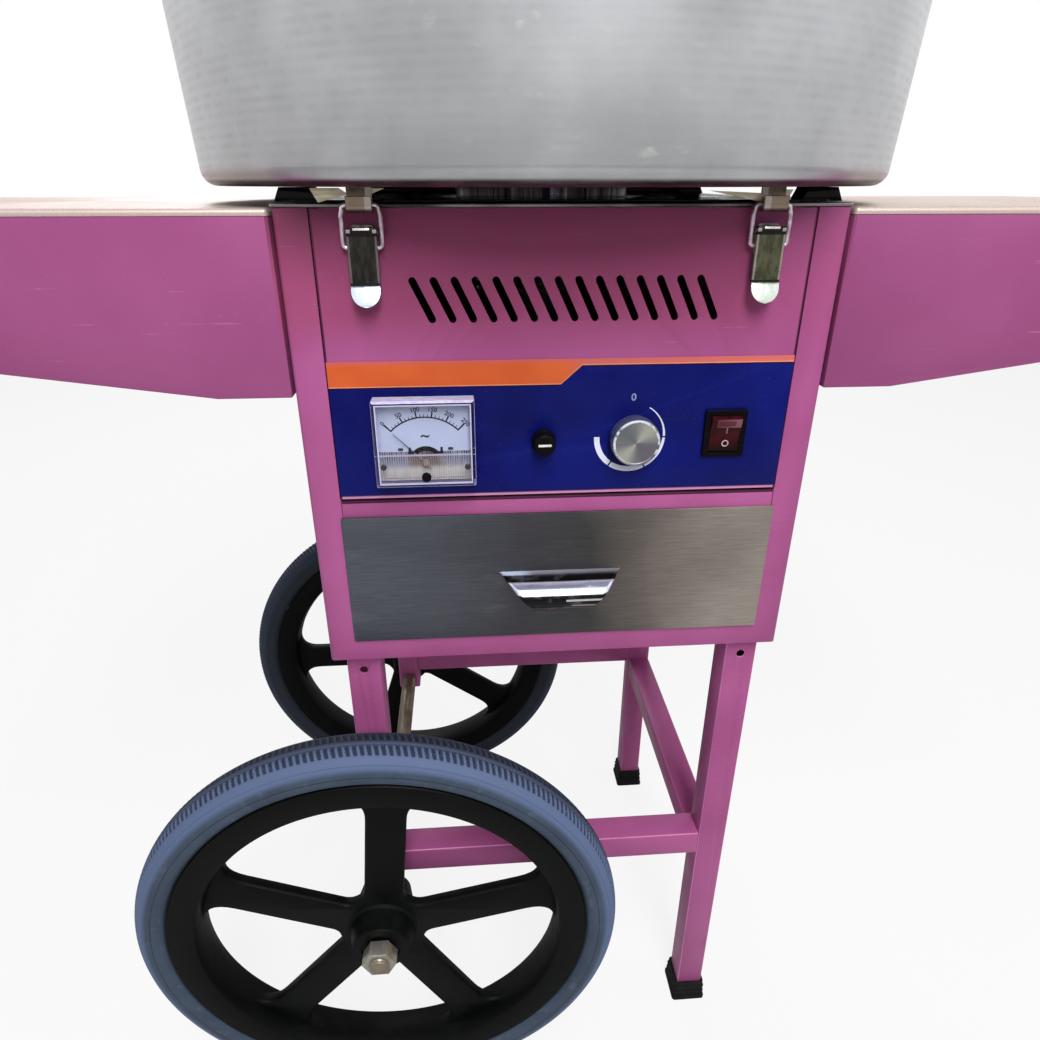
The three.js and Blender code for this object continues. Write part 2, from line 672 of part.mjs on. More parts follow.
function controlLabel() {
  const plate = box(-PANEL_HALF, PANEL_HALF, LABEL_FRONT, FRONT, LABEL_BOTTOM, LABEL_BOTTOM + LABEL_HEIGHT);
  return piece('control_label', plate.subtract(controlHoles()), navyPrint);
}

function deckPlate() {
  const halfX = SIDE + DECK_OVERHANG;
  const halfY = -FRONT + DECK_OVERHANG;
  const corner = CABINET_CORNER + DECK_OVERHANG;
  const plate = raised(roundedRectangle(halfX, halfY, corner), DECK_BOTTOM, DECK_TOP, 3);
  const flangeX = PANEL_HALF - SHEET - FIT;
  const flangeY = -FRONT - FOLD_DEPTH - FIT;
  const flange = roundedRectangle(flangeX, flangeY, 3);
  flange.holes.push(roundedRectangle(flangeX - DECK_THICK, flangeY - DECK_THICK, 2));
  const drumTop = DECK_TOP + DRUM_HEIGHT;
  const drum = rod(DRUM_RADIUS, DECK_BOTTOM, drumTop, HEAD_FACETS);
  const inside = rod(DRUM_RADIUS - DRUM_WALL, DECK_BOTTOM - 1, drumTop - DRUM_WALL, HEAD_FACETS);
  const mouth = rod(DRUM_MOUTH_RADIUS, DECK_BOTTOM, drumTop + 1, SMALL_ROUND);
  const shape = plate
    .add(raised(flange, DECK_BOTTOM - DECK_FLANGE, DECK_BOTTOM + DECK_THICK / 2, 2))
    .add(drum)
    .subtract(inside)
    .subtract(mouth);
  return piece('deck_plate', shape, brushedSteel);
}

// Drawer: the steel front laps the stiles, and the tray slides on two angle runners
function drawer() {
  const group = new THREE.Group();
  const half = OPENING_HALF + DRAWER_OVERLAP;
  const back = FRONT - FIT;
  const frontHalf = DRAWER_FRONT_HEIGHT / 2;
  const plate = upright(roundedRectangle(half, frontHalf, 1.5), -DRAWER_FRONT_THICK, 0, 2);
  group.add(piece('drawer_front', plate, brushedSteel, 0, back, DRAWER_FRONT_BOTTOM + frontHalf));

  const trayFloor = OPENING_BOTTOM + SHEET + 2 * FIT;
  const tray = box(-TRAY_HALF_WIDTH, TRAY_HALF_WIDTH, 0, TRAY_LENGTH, 0, TRAY_HEIGHT)
    .subtract(box(TRAY_WALL - TRAY_HALF_WIDTH, TRAY_HALF_WIDTH - TRAY_WALL,
      TRAY_WALL, TRAY_LENGTH - TRAY_WALL, TRAY_WALL, TRAY_HEIGHT + 1));
  group.add(piece('drawer_tray', tray, brushedSteel, 0, back + FIT, trayFloor));

  const handleTop = DRAWER_FRONT_TOP - HANDLE_TOP_BELOW_FRONT_TOP;
  const handleBack = back - DRAWER_FRONT_THICK - FIT;
  group.add(piece('drawer_handle', solid(cupPull()), polishedSteel, 0, handleBack, handleTop));
  return group;
}

// Cup pull: a shell that leaves the drawer at its top edge, rolls over and comes back below
function cupPull() {
  const roll = new THREE.CubicBezierCurve(
    new THREE.Vector2(0, 0),
    new THREE.Vector2(-HANDLE_REACH * 1.15, -HANDLE_DROP * 0.1),
    new THREE.Vector2(-HANDLE_REACH * 1.35, -HANDLE_DROP * 0.62),
    new THREE.Vector2(-HANDLE_REACH * 0.62, -HANDLE_DROP),
  );
  const across = 14;
  const down = 8;
  const places = [];
  const skin = (inset) => {
    for (let j = 0; j <= down; j += 1) {
      const v = j / down;
      const [y, z] = roll.getPoint(v).toArray();
      const half = HANDLE_HALF_WIDTH + (HANDLE_LIP_HALF_WIDTH - HANDLE_HALF_WIDTH) * v ** 1.5;
      for (let i = 0; i <= across; i += 1) {
        const u = (2 * i) / across - 1;
        const close = Math.min(1, (1 - Math.abs(u)) / 0.2) ** 0.7;
        const reach = y * close * (1 - inset / HANDLE_REACH);
        places.push(u * (half - inset), reach, z * (1 - inset / HANDLE_DROP) - inset * (1 - v));
      }
    }
  };
  skin(0);
  skin(HANDLE_WALL);
  const row = across + 1;
  const second = row * (down + 1);
  const corners = [];
  const quad = (a, b, c, d) => corners.push(a, b, c, a, c, d);
  for (let j = 0; j < down; j += 1) {
    for (let i = 0; i < across; i += 1) {
      const a = j * row + i;
      quad(a, a + row, a + row + 1, a + 1);
      quad(second + a, second + a + 1, second + a + row + 1, second + a + row);
    }
    const left = j * row;
    const right = left + across;
    quad(left, second + left, second + left + row, left + row);
    quad(right, right + row, second + right + row, second + right);
  }
  for (let i = 0; i < across; i += 1) {
    const low = down * row + i;
    quad(i, i + 1, second + i + 1, second + i);
    quad(low, second + low, second + low + 1, low + 1);
  }
  const geometry = new THREE.BufferGeometry();
  geometry.setAttribute('position', new THREE.Float32BufferAttribute(places, 3));
  geometry.setIndex(corners);
  return geometry;
}

function runner(name, side) {
  const wall = SIDE - SHEET - FIT;
  const face = outline([
    [wall - RUNNER_SHELF, 0], [wall, 0], [wall, RUNNER_HEIGHT], [wall - SHEET, RUNNER_HEIGHT],
    [wall - SHEET, SHEET], [wall - RUNNER_SHELF, SHEET],
  ]);
  let shape = upright(face, FRONT + 2 * FOLD_DEPTH, -FRONT - CABINET_CORNER - FIT);
  if (side < 0) shape = shape.mirror([1, 0, 0]);
  return piece(name, shape, brushedSteel, 0, 0, OPENING_BOTTOM + FIT);
}

// Panel meter: a case through the panel, a needle and a clear bevelled cover
function meter() {
  const group = new THREE.Group();
  group.position.set(METER_X, LABEL_FRONT - FIT, CONTROL_Z);
  const halfX = METER_WIDTH / 2;
  const halfZ = METER_HEIGHT / 2;
  const caseHalfX = halfX - METER_WALL - FIT;
  const caseHalfZ = halfZ - METER_WALL - FIT;
  const flangeThick = 3;
  const dialFront = -flangeThick - 0.8;
  const flange = box(-caseHalfX, caseHalfX, -flangeThick, 0, -caseHalfZ, caseHalfZ);
  const dial = box(2 - caseHalfX, caseHalfX - 2, dialFront, -flangeThick / 2, 2 - caseHalfZ, caseHalfZ - 2);
  const body = rod(METER_BODY_RADIUS, -METER_BODY_DEPTH, flangeThick / 2, ROUND).rotate([90, 0, 0]);
  group.add(piece('meter_case', flange.add(dial).add(body), whiteDial));

  const cover = wasm.Manifold.hull([
    box(-halfX, halfX, METER_BEVEL - METER_PROUD, 0, -halfZ, halfZ),
    box(METER_BEVEL - halfX, halfX - METER_BEVEL, -METER_PROUD, 0, METER_BEVEL - halfZ, halfZ - METER_BEVEL),
  ]);
  const room = box(METER_WALL - halfX, halfX - METER_WALL, METER_WALL - METER_PROUD, 1,
    METER_WALL - halfZ, halfZ - METER_WALL);
  group.add(piece('meter_lens', cover.subtract(room), clearPlastic));

  const hub = rod(2.5, FIT, 3.4, 16).rotate([90, 0, 0]).translate([0, dialFront, 0]);
  const tail = 5;
  const blade = upright(outline([[-0.9, -tail], [0.9, -tail], [0.35, NEEDLE_LENGTH], [-0.35, NEEDLE_LENGTH]]),
    dialFront - 2.4, dialFront - 1.6);
  const needle = piece('meter_needle', hub.add(blade), blackPlastic, 0, 0, -METER_PIVOT_DROP);
  needle.rotation.set(0, (-NEEDLE_REST * Math.PI) / 180, 0);
  group.add(needle);
  return group;
}

// Fuse holder: a bezel and body through the panel, and a cap that turns in it
function fuse() {
  const group = new THREE.Group();
  group.position.set(FUSE_X, LABEL_FRONT - FIT, FUSE_Z);
  const bezelThick = 2.2;
  const stem = FUSE_STEM_RADIUS;
  const holder = turned([
    [stem + FIT, 2 - FUSE_BODY_DEPTH], [stem + FIT, bezelThick], [FUSE_BEZEL_RADIUS - 0.8, bezelThick],
    [FUSE_BEZEL_RADIUS, bezelThick - 0.8], [FUSE_BEZEL_RADIUS, 0], [FUSE_BODY_RADIUS, 0],
    [FUSE_BODY_RADIUS, -FUSE_BODY_DEPTH], [0, -FUSE_BODY_DEPTH], [0, 2 - FUSE_BODY_DEPTH],
    [stem + FIT, 2 - FUSE_BODY_DEPTH],
  ], ROUND).rotate([90, 0, 0]);
  group.add(piece('fuse_holder', holder, blackPlastic));
  const foot = bezelThick + FIT;
  const crown = foot + FUSE_CAP_HEIGHT;
  const cap = turned([
    [0, 6 - FUSE_BODY_DEPTH], [stem, 6 - FUSE_BODY_DEPTH], [stem, foot], [FUSE_CAP_RADIUS, foot],
    [FUSE_CAP_RADIUS - 0.6, crown - 1], [FUSE_CAP_RADIUS - 1.8, crown], [0, crown],
  ], ROUND).rotate([90, 0, 0]);
  const slot = box(-FUSE_CAP_RADIUS, FUSE_CAP_RADIUS, -crown - 1, 1.6 - crown, -0.8, 0.8);
  group.add(piece('fuse_cap', cap.subtract(slot), blackPlastic));
  return group;
}

// Temperature knob with its spindle, and the controller it turns, behind the panel
function heatControl() {
  const group = new THREE.Group();
  group.position.set(KNOB_X, LABEL_FRONT - FIT, KNOB_Z);
  const ribs = circle(1, 2 * KNOB_RIBS).map(([u, v], i) => {
    const radius = KNOB_RADIUS - (i % 2) * KNOB_RIB_DEPTH;
    return [u * radius, v * radius];
  });
  const spindleEnd = LABEL_THICK + 2 * FIT + SHEET + CONTROLLER_DEPTH - 2;
  const knob = upright(outline(ribs), -KNOB_HEIGHT + 2.5, 0)
    .add(turned([
      [0, 0], [KNOB_RADIUS - 1.2, 0], [KNOB_RADIUS - 1.2, KNOB_HEIGHT - 1.5],
      [KNOB_RADIUS - 2.7, KNOB_HEIGHT], [0, KNOB_HEIGHT],
    ]).rotate([90, 0, 0]))
    .add(rod(SPINDLE_RADIUS, -spindleEnd, 1).rotate([90, 0, 0]));
  group.add(piece('heat_knob', knob, spunAluminium));

  const mount = LABEL_THICK + 2 * FIT + SHEET;
  const boardBack = mount + CONTROLLER_DEPTH;
  const halfX = CONTROLLER_BOARD_WIDTH / 2;
  const halfZ = CONTROLLER_BOARD_HEIGHT / 2;
  let controller = rod(CONTROLLER_RADIUS, -boardBack, -mount, ROUND).rotate([90, 0, 0])
    .subtract(rod(SPINDLE_RADIUS + FIT, -boardBack + 1, 1).rotate([90, 0, 0]))
    .add(box(-halfX, halfX, boardBack - 0.5, boardBack + 1.6, -halfZ, halfZ));
  for (let i = 0; i < HEAT_SINK_FINS; i += 1) {
    const x = -halfX + 6 + i * 5;
    controller = controller.add(box(x, x + 1.8, boardBack, boardBack + 18, 6 - halfZ, halfZ - 6));
  }
  controller = controller.add(box(4, halfX - 6, boardBack, boardBack + 12, 6 - halfZ, halfZ - 6));
  group.add(piece('heat_controller', controller, boardGreen));
  return group;
}

// Power switch: a bezel and body through the panel, with a rocker on a cross pin line
function powerSwitch() {
  const group = new THREE.Group();
  group.position.set(SWITCH_X, LABEL_FRONT - FIT, CONTROL_Z);
  const bodyX = SWITCH_WIDTH / 2 - 2;
  const bodyZ = SWITCH_HEIGHT / 2 - 1;
  const wellX = ROCKER_WIDTH / 2 + FIT;
  const wellZ = ROCKER_RADIUS + FIT;
  const pivotDepth = 2.2;
  const pinPair = (room) => {
    const pin = rod(ROCKER_PIN_RADIUS + room, ROCKER_WIDTH / 2 - 2, wellX + 1.5 + room);
    const placed = pin.rotate([0, 90, 0]).translate([0, pivotDepth, 0]);
    return placed.add(placed.mirror([1, 0, 0]));
  };
  const housing = upright(roundedRectangle(SWITCH_WIDTH / 2, SWITCH_HEIGHT / 2, 1.5), -SWITCH_BEZEL, 0, 2)
    .add(box(-bodyX, bodyX, -1, SWITCH_BODY_DEPTH, -bodyZ, bodyZ))
    .subtract(box(-wellX, wellX, -SWITCH_BEZEL - 1, pivotDepth + 7, -wellZ, wellZ))
    .subtract(pinPair(FIT));
  group.add(piece('switch_housing', housing, blackPlastic));

  const at = (degrees) => {
    const turn = (degrees * Math.PI) / 180;
    return [pivotDepth - ROCKER_RADIUS * Math.cos(turn), ROCKER_RADIUS * Math.sin(turn)];
  };
  const half = ROCKER_THROW / 2;
  const points = [[pivotDepth - 4.6, 0]];
  for (const mid of [-62, -76, -90, -104]) points.push(at(mid - half));
  for (const mid of [104, 90, 76, 62]) points.push(at(mid - half));
  const rocker = sideways(outline(points), -ROCKER_WIDTH / 2, ROCKER_WIDTH / 2);
  group.add(piece('switch_rocker', rocker.add(pinPair(0)), redRocker));
  return group;
}

// Motor under the deck, its shaft, and the head that spins the sugar
function motor() {
  const top = DECK_BOTTOM - FIT;
  const halfFlange = MOTOR_FLANGE / 2;
  const body = turned([
    [0, -MOTOR_LENGTH], [MOTOR_RADIUS - 5, -MOTOR_LENGTH], [MOTOR_RADIUS, 5 - MOTOR_LENGTH],
    [MOTOR_RADIUS, -MOTOR_FLANGE_THICK / 2], [0, -MOTOR_FLANGE_THICK / 2],
  ], ROUND);
  const flange = raised(roundedRectangle(halfFlange, halfFlange, 6), -MOTOR_FLANGE_THICK, 0, 3);
  const pad = SHAFT_RADIUS + 8;
  const bore = rod(SHAFT_RADIUS + RUNNING, -SHAFT_IN_MOTOR - FIT, pad, ROUND);
  return piece('motor', body.add(flange).subtract(bore), motorIron, 0, 0, top);
}

function motorShaft() {
  const foot = DECK_BOTTOM - FIT - SHAFT_IN_MOTOR;
  const top = HEAD_BOTTOM + HEAD_HEIGHT - 14;
  return piece('motor_shaft', rod(SHAFT_RADIUS, 0, top - foot, ROUND), axleSteel, 0, 0, foot);
}

function spinnerHead() {
  const wall = HEAD_WALL;
  const shell = turned([
    [0, 0], [HEAD_RADIUS - 8, 0], [HEAD_RADIUS, 8], [HEAD_RADIUS, HEAD_HEIGHT - 6],
    [HEAD_RADIUS - 4, HEAD_HEIGHT], [HEAD_MOUTH_RADIUS, HEAD_HEIGHT],
    [HEAD_MOUTH_RADIUS, HEAD_HEIGHT - wall], [HEAD_RADIUS - 5 - wall, HEAD_HEIGHT - wall],
    [HEAD_RADIUS - wall, HEAD_HEIGHT - 6 - wall], [HEAD_RADIUS - wall, 9],
    [HEAD_RADIUS - 9, wall], [HEAD_HUB_RADIUS, wall],
    [HEAD_HUB_RADIUS, HEAD_HEIGHT - 10], [0, HEAD_HEIGHT - 10],
  ], HEAD_FACETS);
  const vents = [];
  for (let i = 0; i < HEAD_VENTS; i += 1) {
    const low = HEAD_HEIGHT / 2 - HEAD_VENT_HEIGHT / 2;
    const vent = box(HEAD_RADIUS - 2 * wall, HEAD_RADIUS + 2, -HEAD_VENT_WIDTH / 2, HEAD_VENT_WIDTH / 2,
      low, low + HEAD_VENT_HEIGHT);
    vents.push(vent.rotate([0, 0, (i * 360) / HEAD_VENTS]));
  }
  const bore = rod(SHAFT_RADIUS + RUNNING, -1, HEAD_HEIGHT - 14 + FIT, ROUND);
  const shape = shell.subtract(wasm.Manifold.union(vents)).subtract(bore);
  return piece('spinner_head', shape, spunAluminium, 0, 0, HEAD_BOTTOM);
}

// The black rubber sheet on the deck, with a block at each corner that carries the bowl and a lip at the back
function bowlSeat() {
  const halfX = SIDE - SEAT_INSET_X;
  const halfY = -FRONT - SEAT_INSET_Y;
  const sheet = roundedRectangle(halfX, halfY, 6);
  sheet.holes.push(outline(circle(DRUM_RADIUS + 1, HEAD_FACETS)));
  const bottom = FIT;
  const top = BOWL_GAP - FIT;
  let shape = raised(sheet, bottom, bottom + SEAT_THICK, 8)
    .add(box(6 - halfX, halfX - 6, halfY - SEAT_LIP, halfY, bottom, top - FIT));
  const foot = BLOCK_FOOT / 2;
  const crown = BLOCK_TOP / 2;
  const face = outline([[-foot, bottom], [foot, bottom], [crown, top], [-crown, top]]);
  for (const x of [BLOCK_INSET_X - SIDE, SIDE - BLOCK_INSET_X]) {
    for (const y of [FRONT + BLOCK_INSET_Y, -FRONT - BLOCK_INSET_Y]) {
      shape = shape.add(upright(face, -crown, crown).translate([x, y, 0]));
    }
  }
  return piece('bowl_seat', shape, blackRubber, 0, 0, DECK_TOP);
}

// Hook under the bowl that the latch wire pulls down on, drawn in Y and Z about the closed wire
function keeperFace() {
  const wire = BAIL_WIRE / 2;
  const back = wire + FIT;
  const lip = -wire - KEEPER_ROOM;
  const radius = (back - lip) / 2;
  const middle = (back + lip) / 2;
  const rise = BOWL_BOTTOM - (CABINET_TOP - LATCH_PIVOT_DROP - BAIL_OFFSET + BAIL_RISE);
  const sag = -FIT;
  const shape = new THREE.Shape();
  shape.moveTo(back + KEEPER_SHEET, rise + BOWL_WALL / 2);
  shape.lineTo(back, rise + BOWL_WALL / 2);
  shape.lineTo(back, sag);
  shape.absarc(middle, sag, radius, 0, -Math.PI, true);
  shape.lineTo(lip, KEEPER_LIP - 1);
  shape.lineTo(lip - KEEPER_SHEET, KEEPER_LIP - 1);
  shape.lineTo(lip - KEEPER_SHEET, sag);
  shape.absarc(middle, sag, radius + KEEPER_SHEET, -Math.PI, 0);
  shape.closePath();
  return shape;
}

function bowl() {
  const rimRadius = BOWL_DIAMETER / 2 - BOWL_BEAD;
  const top = BOWL_HEIGHT - BOWL_BEAD;
  const wall = BOWL_WALL;
  const bend = (radius, share) => [
    BOWL_FLOOR_RADIUS - BOWL_BEND + radius * Math.sin(share * Math.PI / 2),
    BOWL_BEND - radius * Math.cos(share * Math.PI / 2),
  ];
  const profile = [[BOWL_HOLE_RADIUS, BOWL_UPSTAND], [BOWL_HOLE_RADIUS, 0]];
  for (const share of [0, 0.5, 1]) profile.push(bend(BOWL_BEND, share));
  for (let i = 0; i <= 5; i += 1) {
    const turn = Math.PI * (-0.75 + (i / 5) * 1.75);
    profile.push([rimRadius + BOWL_BEAD * Math.cos(turn), top + BOWL_BEAD * Math.sin(turn)]);
  }
  for (const share of [1, 0.5, 0]) profile.push(bend(BOWL_BEND - wall, share));
  profile.push([BOWL_HOLE_RADIUS + wall, wall], [BOWL_HOLE_RADIUS + wall, BOWL_UPSTAND]);
  profile.push([BOWL_HOLE_RADIUS, BOWL_UPSTAND]);
  let shape = turned(profile, BOWL_FACETS).translate([0, 0, BOWL_BOTTOM]);
  const hook = sideways(keeperFace(), -KEEPER_WIDTH / 2, KEEPER_WIDTH / 2, 5);
  const wireY = FRONT - FIT - LATCH_STANDOFF;
  const wireZ = CABINET_TOP - LATCH_PIVOT_DROP - BAIL_OFFSET + BAIL_RISE;
  for (const x of [-1, 1]) {
    const front = hook.translate([x * LATCH_X, wireY, wireZ]);
    shape = shape.add(front).add(front.mirror([0, 1, 0]));
  }
  return piece('bowl', shape, spunAluminium);
}

// Draw latch, drawn about its lever pin: a base with ears, a lever and a wire bail
function latchBase(name) {
  const wall = LATCH_STANDOFF;
  const half = LATCH_BASE_WIDTH / 2;
  const plate = box(-half, half, wall - LATCH_SHEET, wall, -LATCH_BASE_DROP, 4);
  const ear = new THREE.Shape();
  ear.absarc(0, 0, LATCH_PIN_RADIUS + 1.2, Math.PI / 2, 1.5 * Math.PI);
  ear.lineTo(wall - LATCH_SHEET / 2, -LATCH_PIN_RADIUS - 1.2);
  ear.lineTo(wall - LATCH_SHEET / 2, LATCH_PIN_RADIUS + 1.2);
  ear.closePath();
  const pinEnd = LEVER_WIDTH / 2 + 0.6;
  const pin = rod(LATCH_PIN_RADIUS, -pinEnd, pinEnd, PIN_FACETS).rotate([0, 90, 0]);
  const shape = plate
    .add(sideways(ear, -half, LATCH_SHEET - half, 3))
    .add(sideways(ear, half - LATCH_SHEET, half, 3))
    .add(pin);
  return piece(name, shape, latchSteel);
}

function latchLever(name) {
  const half = LEVER_WIDTH / 2;
  const cheek = LATCH_BASE_WIDTH / 2 + FIT;
  const crown = LATCH_PIN_RADIUS + FIT + 0.9;
  const webFront = -crown - LATCH_SHEET;
  const bendAt = LEVER_TIP - LEVER_LENGTH;
  const kick = LEVER_TIP * 0.3;
  const strap = sideways(outline([
    [webFront, crown], [-crown, crown], [-crown, bendAt], [-crown - kick, -LEVER_LENGTH],
    [webFront - kick, -LEVER_LENGTH], [webFront, bendAt],
  ]), -half, half);
  const tongue = new THREE.Shape();
  tongue.moveTo(-half, crown + 1);
  tongue.lineTo(-half, half - LEVER_LENGTH);
  tongue.absarc(0, half - LEVER_LENGTH, half, Math.PI, 2 * Math.PI);
  tongue.lineTo(half, crown + 1);
  tongue.closePath();
  const rounded = strap.intersect(upright(tongue, -20, 20, 5));
  const side = new THREE.Shape();
  side.absarc(0, 0, crown, 0, Math.PI / 2);
  side.lineTo(webFront + 0.2, crown);
  side.lineTo(webFront + 0.2, -BAIL_OFFSET - 5);
  side.lineTo(-crown, -BAIL_OFFSET - 5);
  side.absarc(0, -BAIL_OFFSET, crown, -Math.PI / 2, 0);
  side.closePath();
  const pinHole = rod(LATCH_PIN_RADIUS + FIT, -LEVER_WIDTH, LEVER_WIDTH, PIN_FACETS).rotate([0, 90, 0]);
  const bailHole = rod(BAIL_WIRE / 2 + FIT, -LEVER_WIDTH, LEVER_WIDTH, PIN_FACETS).rotate([0, 90, 0]);
  const shape = rounded
    .add(sideways(side, cheek, half, 3))
    .add(sideways(side, -half, -cheek, 3))
    .subtract(pinHole)
    .subtract(bailHole.translate([0, 0, -BAIL_OFFSET]));
  return piece(name, shape, latchSteel);
}

function latchBail(name) {
  const wide = (BAIL_WIDTH - BAIL_WIRE) / 2;
  const neck = (BAIL_NECK - BAIL_WIRE) / 2;
  const end = LATCH_BASE_WIDTH / 2 + FIT;
  const shoulder = BAIL_RISE * 0.68;
  const bend = 2.6;
  const at = (x, z) => new THREE.Vector3(x, 0, z);
  const path = new THREE.CurvePath();
  const half = [
    [at(-end, 0), at(bend - wide, 0)],
    [at(bend - wide, 0), at(-wide, 0), at(-wide, bend)],
    [at(-wide, bend), at(-wide, shoulder)],
    [at(-wide, shoulder), at(-neck, BAIL_RISE - bend)],
    [at(-neck, BAIL_RISE - bend), at(-neck, BAIL_RISE), at(bend - neck, BAIL_RISE)],
  ];
  const flip = (v) => at(-v.x, v.z);
  const add = (points) => {
    const Curve = points.length === 2 ? THREE.LineCurve3 : THREE.QuadraticBezierCurve3;
    path.add(new Curve(...points));
  };
  half.forEach(add);
  add([at(bend - neck, BAIL_RISE), at(neck - bend, BAIL_RISE)]);
  [...half].reverse().forEach((points) => add([...points].reverse().map(flip)));
  const section = outline(circle(BAIL_WIRE / 2, WIRE_FACETS));
  const geometry = new THREE.ExtrudeGeometry(section, { steps: BAIL_STEPS, extrudePath: path });
  return piece(name, solid(geometry), polishedSteel, 0, 0, -BAIL_OFFSET);
}

function latch(place, x, end) {
  const group = new THREE.Group();
  group.add(latchBase(`latch_base_${place}`));
  group.add(latchLever(`latch_lever_${place}`));
  group.add(latchBail(`latch_bail_${place}`));
  group.rotation.set(0, 0, end < 0 ? 0 : Math.PI);
  group.position.set(x, end * (-FRONT + FIT + LATCH_STANDOFF), CABINET_TOP - LATCH_PIVOT_DROP);
  return group;
}

function cordGland() {
  const inward = 14;
  const outward = 12;
  const wall = SHEET + FIT;
  const shape = turned([
    [GLAND_BORE_RADIUS, -wall - inward], [GLAND_RADIUS, -wall - inward], [GLAND_RADIUS, FIT],
    [GLAND_FLANGE_RADIUS, FIT], [GLAND_FLANGE_RADIUS, 4], [GLAND_RADIUS, 5],
    [GLAND_BORE_RADIUS + 1.6, outward], [GLAND_BORE_RADIUS, outward], [GLAND_BORE_RADIUS, -wall - inward],
  ], SMALL_ROUND).rotate([-90, 0, 0]);
  return piece('cord_gland', shape, blackPlastic, GLAND_X, -FRONT, CABINET_BOTTOM + GLAND_HEIGHT);
}

const machine = new THREE.Group();
machine.add(cartFrame());
machine.add(runningGear());
machine.add(wingApron('wing_apron_left', -1));
machine.add(wingApron('wing_apron_right', 1));
machine.add(wingTray('wing_tray_left', -1));
machine.add(wingTray('wing_tray_right', 1));
machine.add(cabinetWrap());
machine.add(cabinetFloor());
machine.add(midRail());
machine.add(frontPanel());
machine.add(controlLabel());
machine.add(deckPlate());
machine.add(drawer());
machine.add(runner('runner_left', -1));
machine.add(runner('runner_right', 1));
machine.add(meter());
machine.add(fuse());
machine.add(heatControl());
machine.add(powerSwitch());
machine.add(motor());
machine.add(motorShaft());
machine.add(spinnerHead());
machine.add(bowlSeat());
machine.add(bowl());
machine.add(latch('front_left', -LATCH_X, -1));
machine.add(latch('front_right', LATCH_X, -1));
machine.add(latch('rear_left', -LATCH_X, 1));
machine.add(latch('rear_right', LATCH_X, 1));
machine.add(cordGland());

export default machine;
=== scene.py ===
import math

import bmesh
import bpy
import numpy as np
from mathutils import Matrix, Vector
from mathutils.geometry import tessellate_polygon


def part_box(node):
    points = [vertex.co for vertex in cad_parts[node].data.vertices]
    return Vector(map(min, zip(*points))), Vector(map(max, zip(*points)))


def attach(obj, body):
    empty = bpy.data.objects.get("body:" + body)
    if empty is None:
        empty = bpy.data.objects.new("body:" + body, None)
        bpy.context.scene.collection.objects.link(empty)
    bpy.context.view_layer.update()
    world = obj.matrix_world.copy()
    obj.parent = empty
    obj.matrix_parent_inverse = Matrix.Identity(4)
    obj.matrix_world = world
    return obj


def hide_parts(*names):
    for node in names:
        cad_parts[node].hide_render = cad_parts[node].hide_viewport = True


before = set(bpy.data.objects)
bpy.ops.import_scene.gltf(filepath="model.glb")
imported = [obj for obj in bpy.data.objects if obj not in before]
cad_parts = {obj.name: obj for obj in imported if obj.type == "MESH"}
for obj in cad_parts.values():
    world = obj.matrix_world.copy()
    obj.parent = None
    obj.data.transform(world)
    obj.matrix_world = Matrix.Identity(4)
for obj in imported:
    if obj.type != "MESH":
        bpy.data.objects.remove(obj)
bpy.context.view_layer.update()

MM = 0.001


# Camera and studio.
# The camera stands just above the deck's height, close in front of the machine and a little left of it.
# The floor is pale board. A large soft lamp hangs over the front, and weaker ones at the side and behind.
CAMERA_PLACE = (-60.5 * MM, -614.3 * MM, 766.9 * MM)
CAMERA_DOWN = 25.14
CAMERA_TURN = 4.13
CAMERA_LENS = 24.94
CAMERA_SENSOR = 36.0
FLOOR_HALF = 14.0
FLOOR_LEVEL = -0.3 * MM
FLOOR_GLOW = 0.85
LAMPS_AIM = (0, 0, 0.5)
AMBIENT = 0.2


def srgb(red, green, blue):
    """A colour from its 0 to 255 values, as the linear RGBA that a shader takes."""
    def linear(value):
        share = value / 255
        return share / 12.92 if share <= 0.04045 else ((share + 0.055) / 1.055) ** 2.4
    return (linear(red), linear(green), linear(blue), 1.0)


def place_camera():
    eye = bpy.data.cameras.new("camera")
    eye.lens = CAMERA_LENS
    eye.sensor_width = CAMERA_SENSOR
    eye.clip_start = 0.02
    eye.clip_end = 60
    stand = bpy.data.objects.new("camera", eye)
    stand.location = CAMERA_PLACE
    stand.rotation_euler = (math.radians(90 - CAMERA_DOWN), 0, math.radians(-CAMERA_TURN))
    bpy.context.scene.collection.objects.link(stand)
    bpy.context.scene.camera = stand


def hang_lamp(name, place, size, power):
    lamp = bpy.data.lights.new(name, "AREA")
    lamp.shape = "RECTANGLE"
    lamp.size, lamp.size_y = size
    lamp.energy = power
    hung = bpy.data.objects.new(name, lamp)
    hung.location = place
    hung.rotation_euler = (Vector(LAMPS_AIM) - Vector(place)).to_track_quat("-Z", "Y").to_euler()
    bpy.context.scene.collection.objects.link(hung)


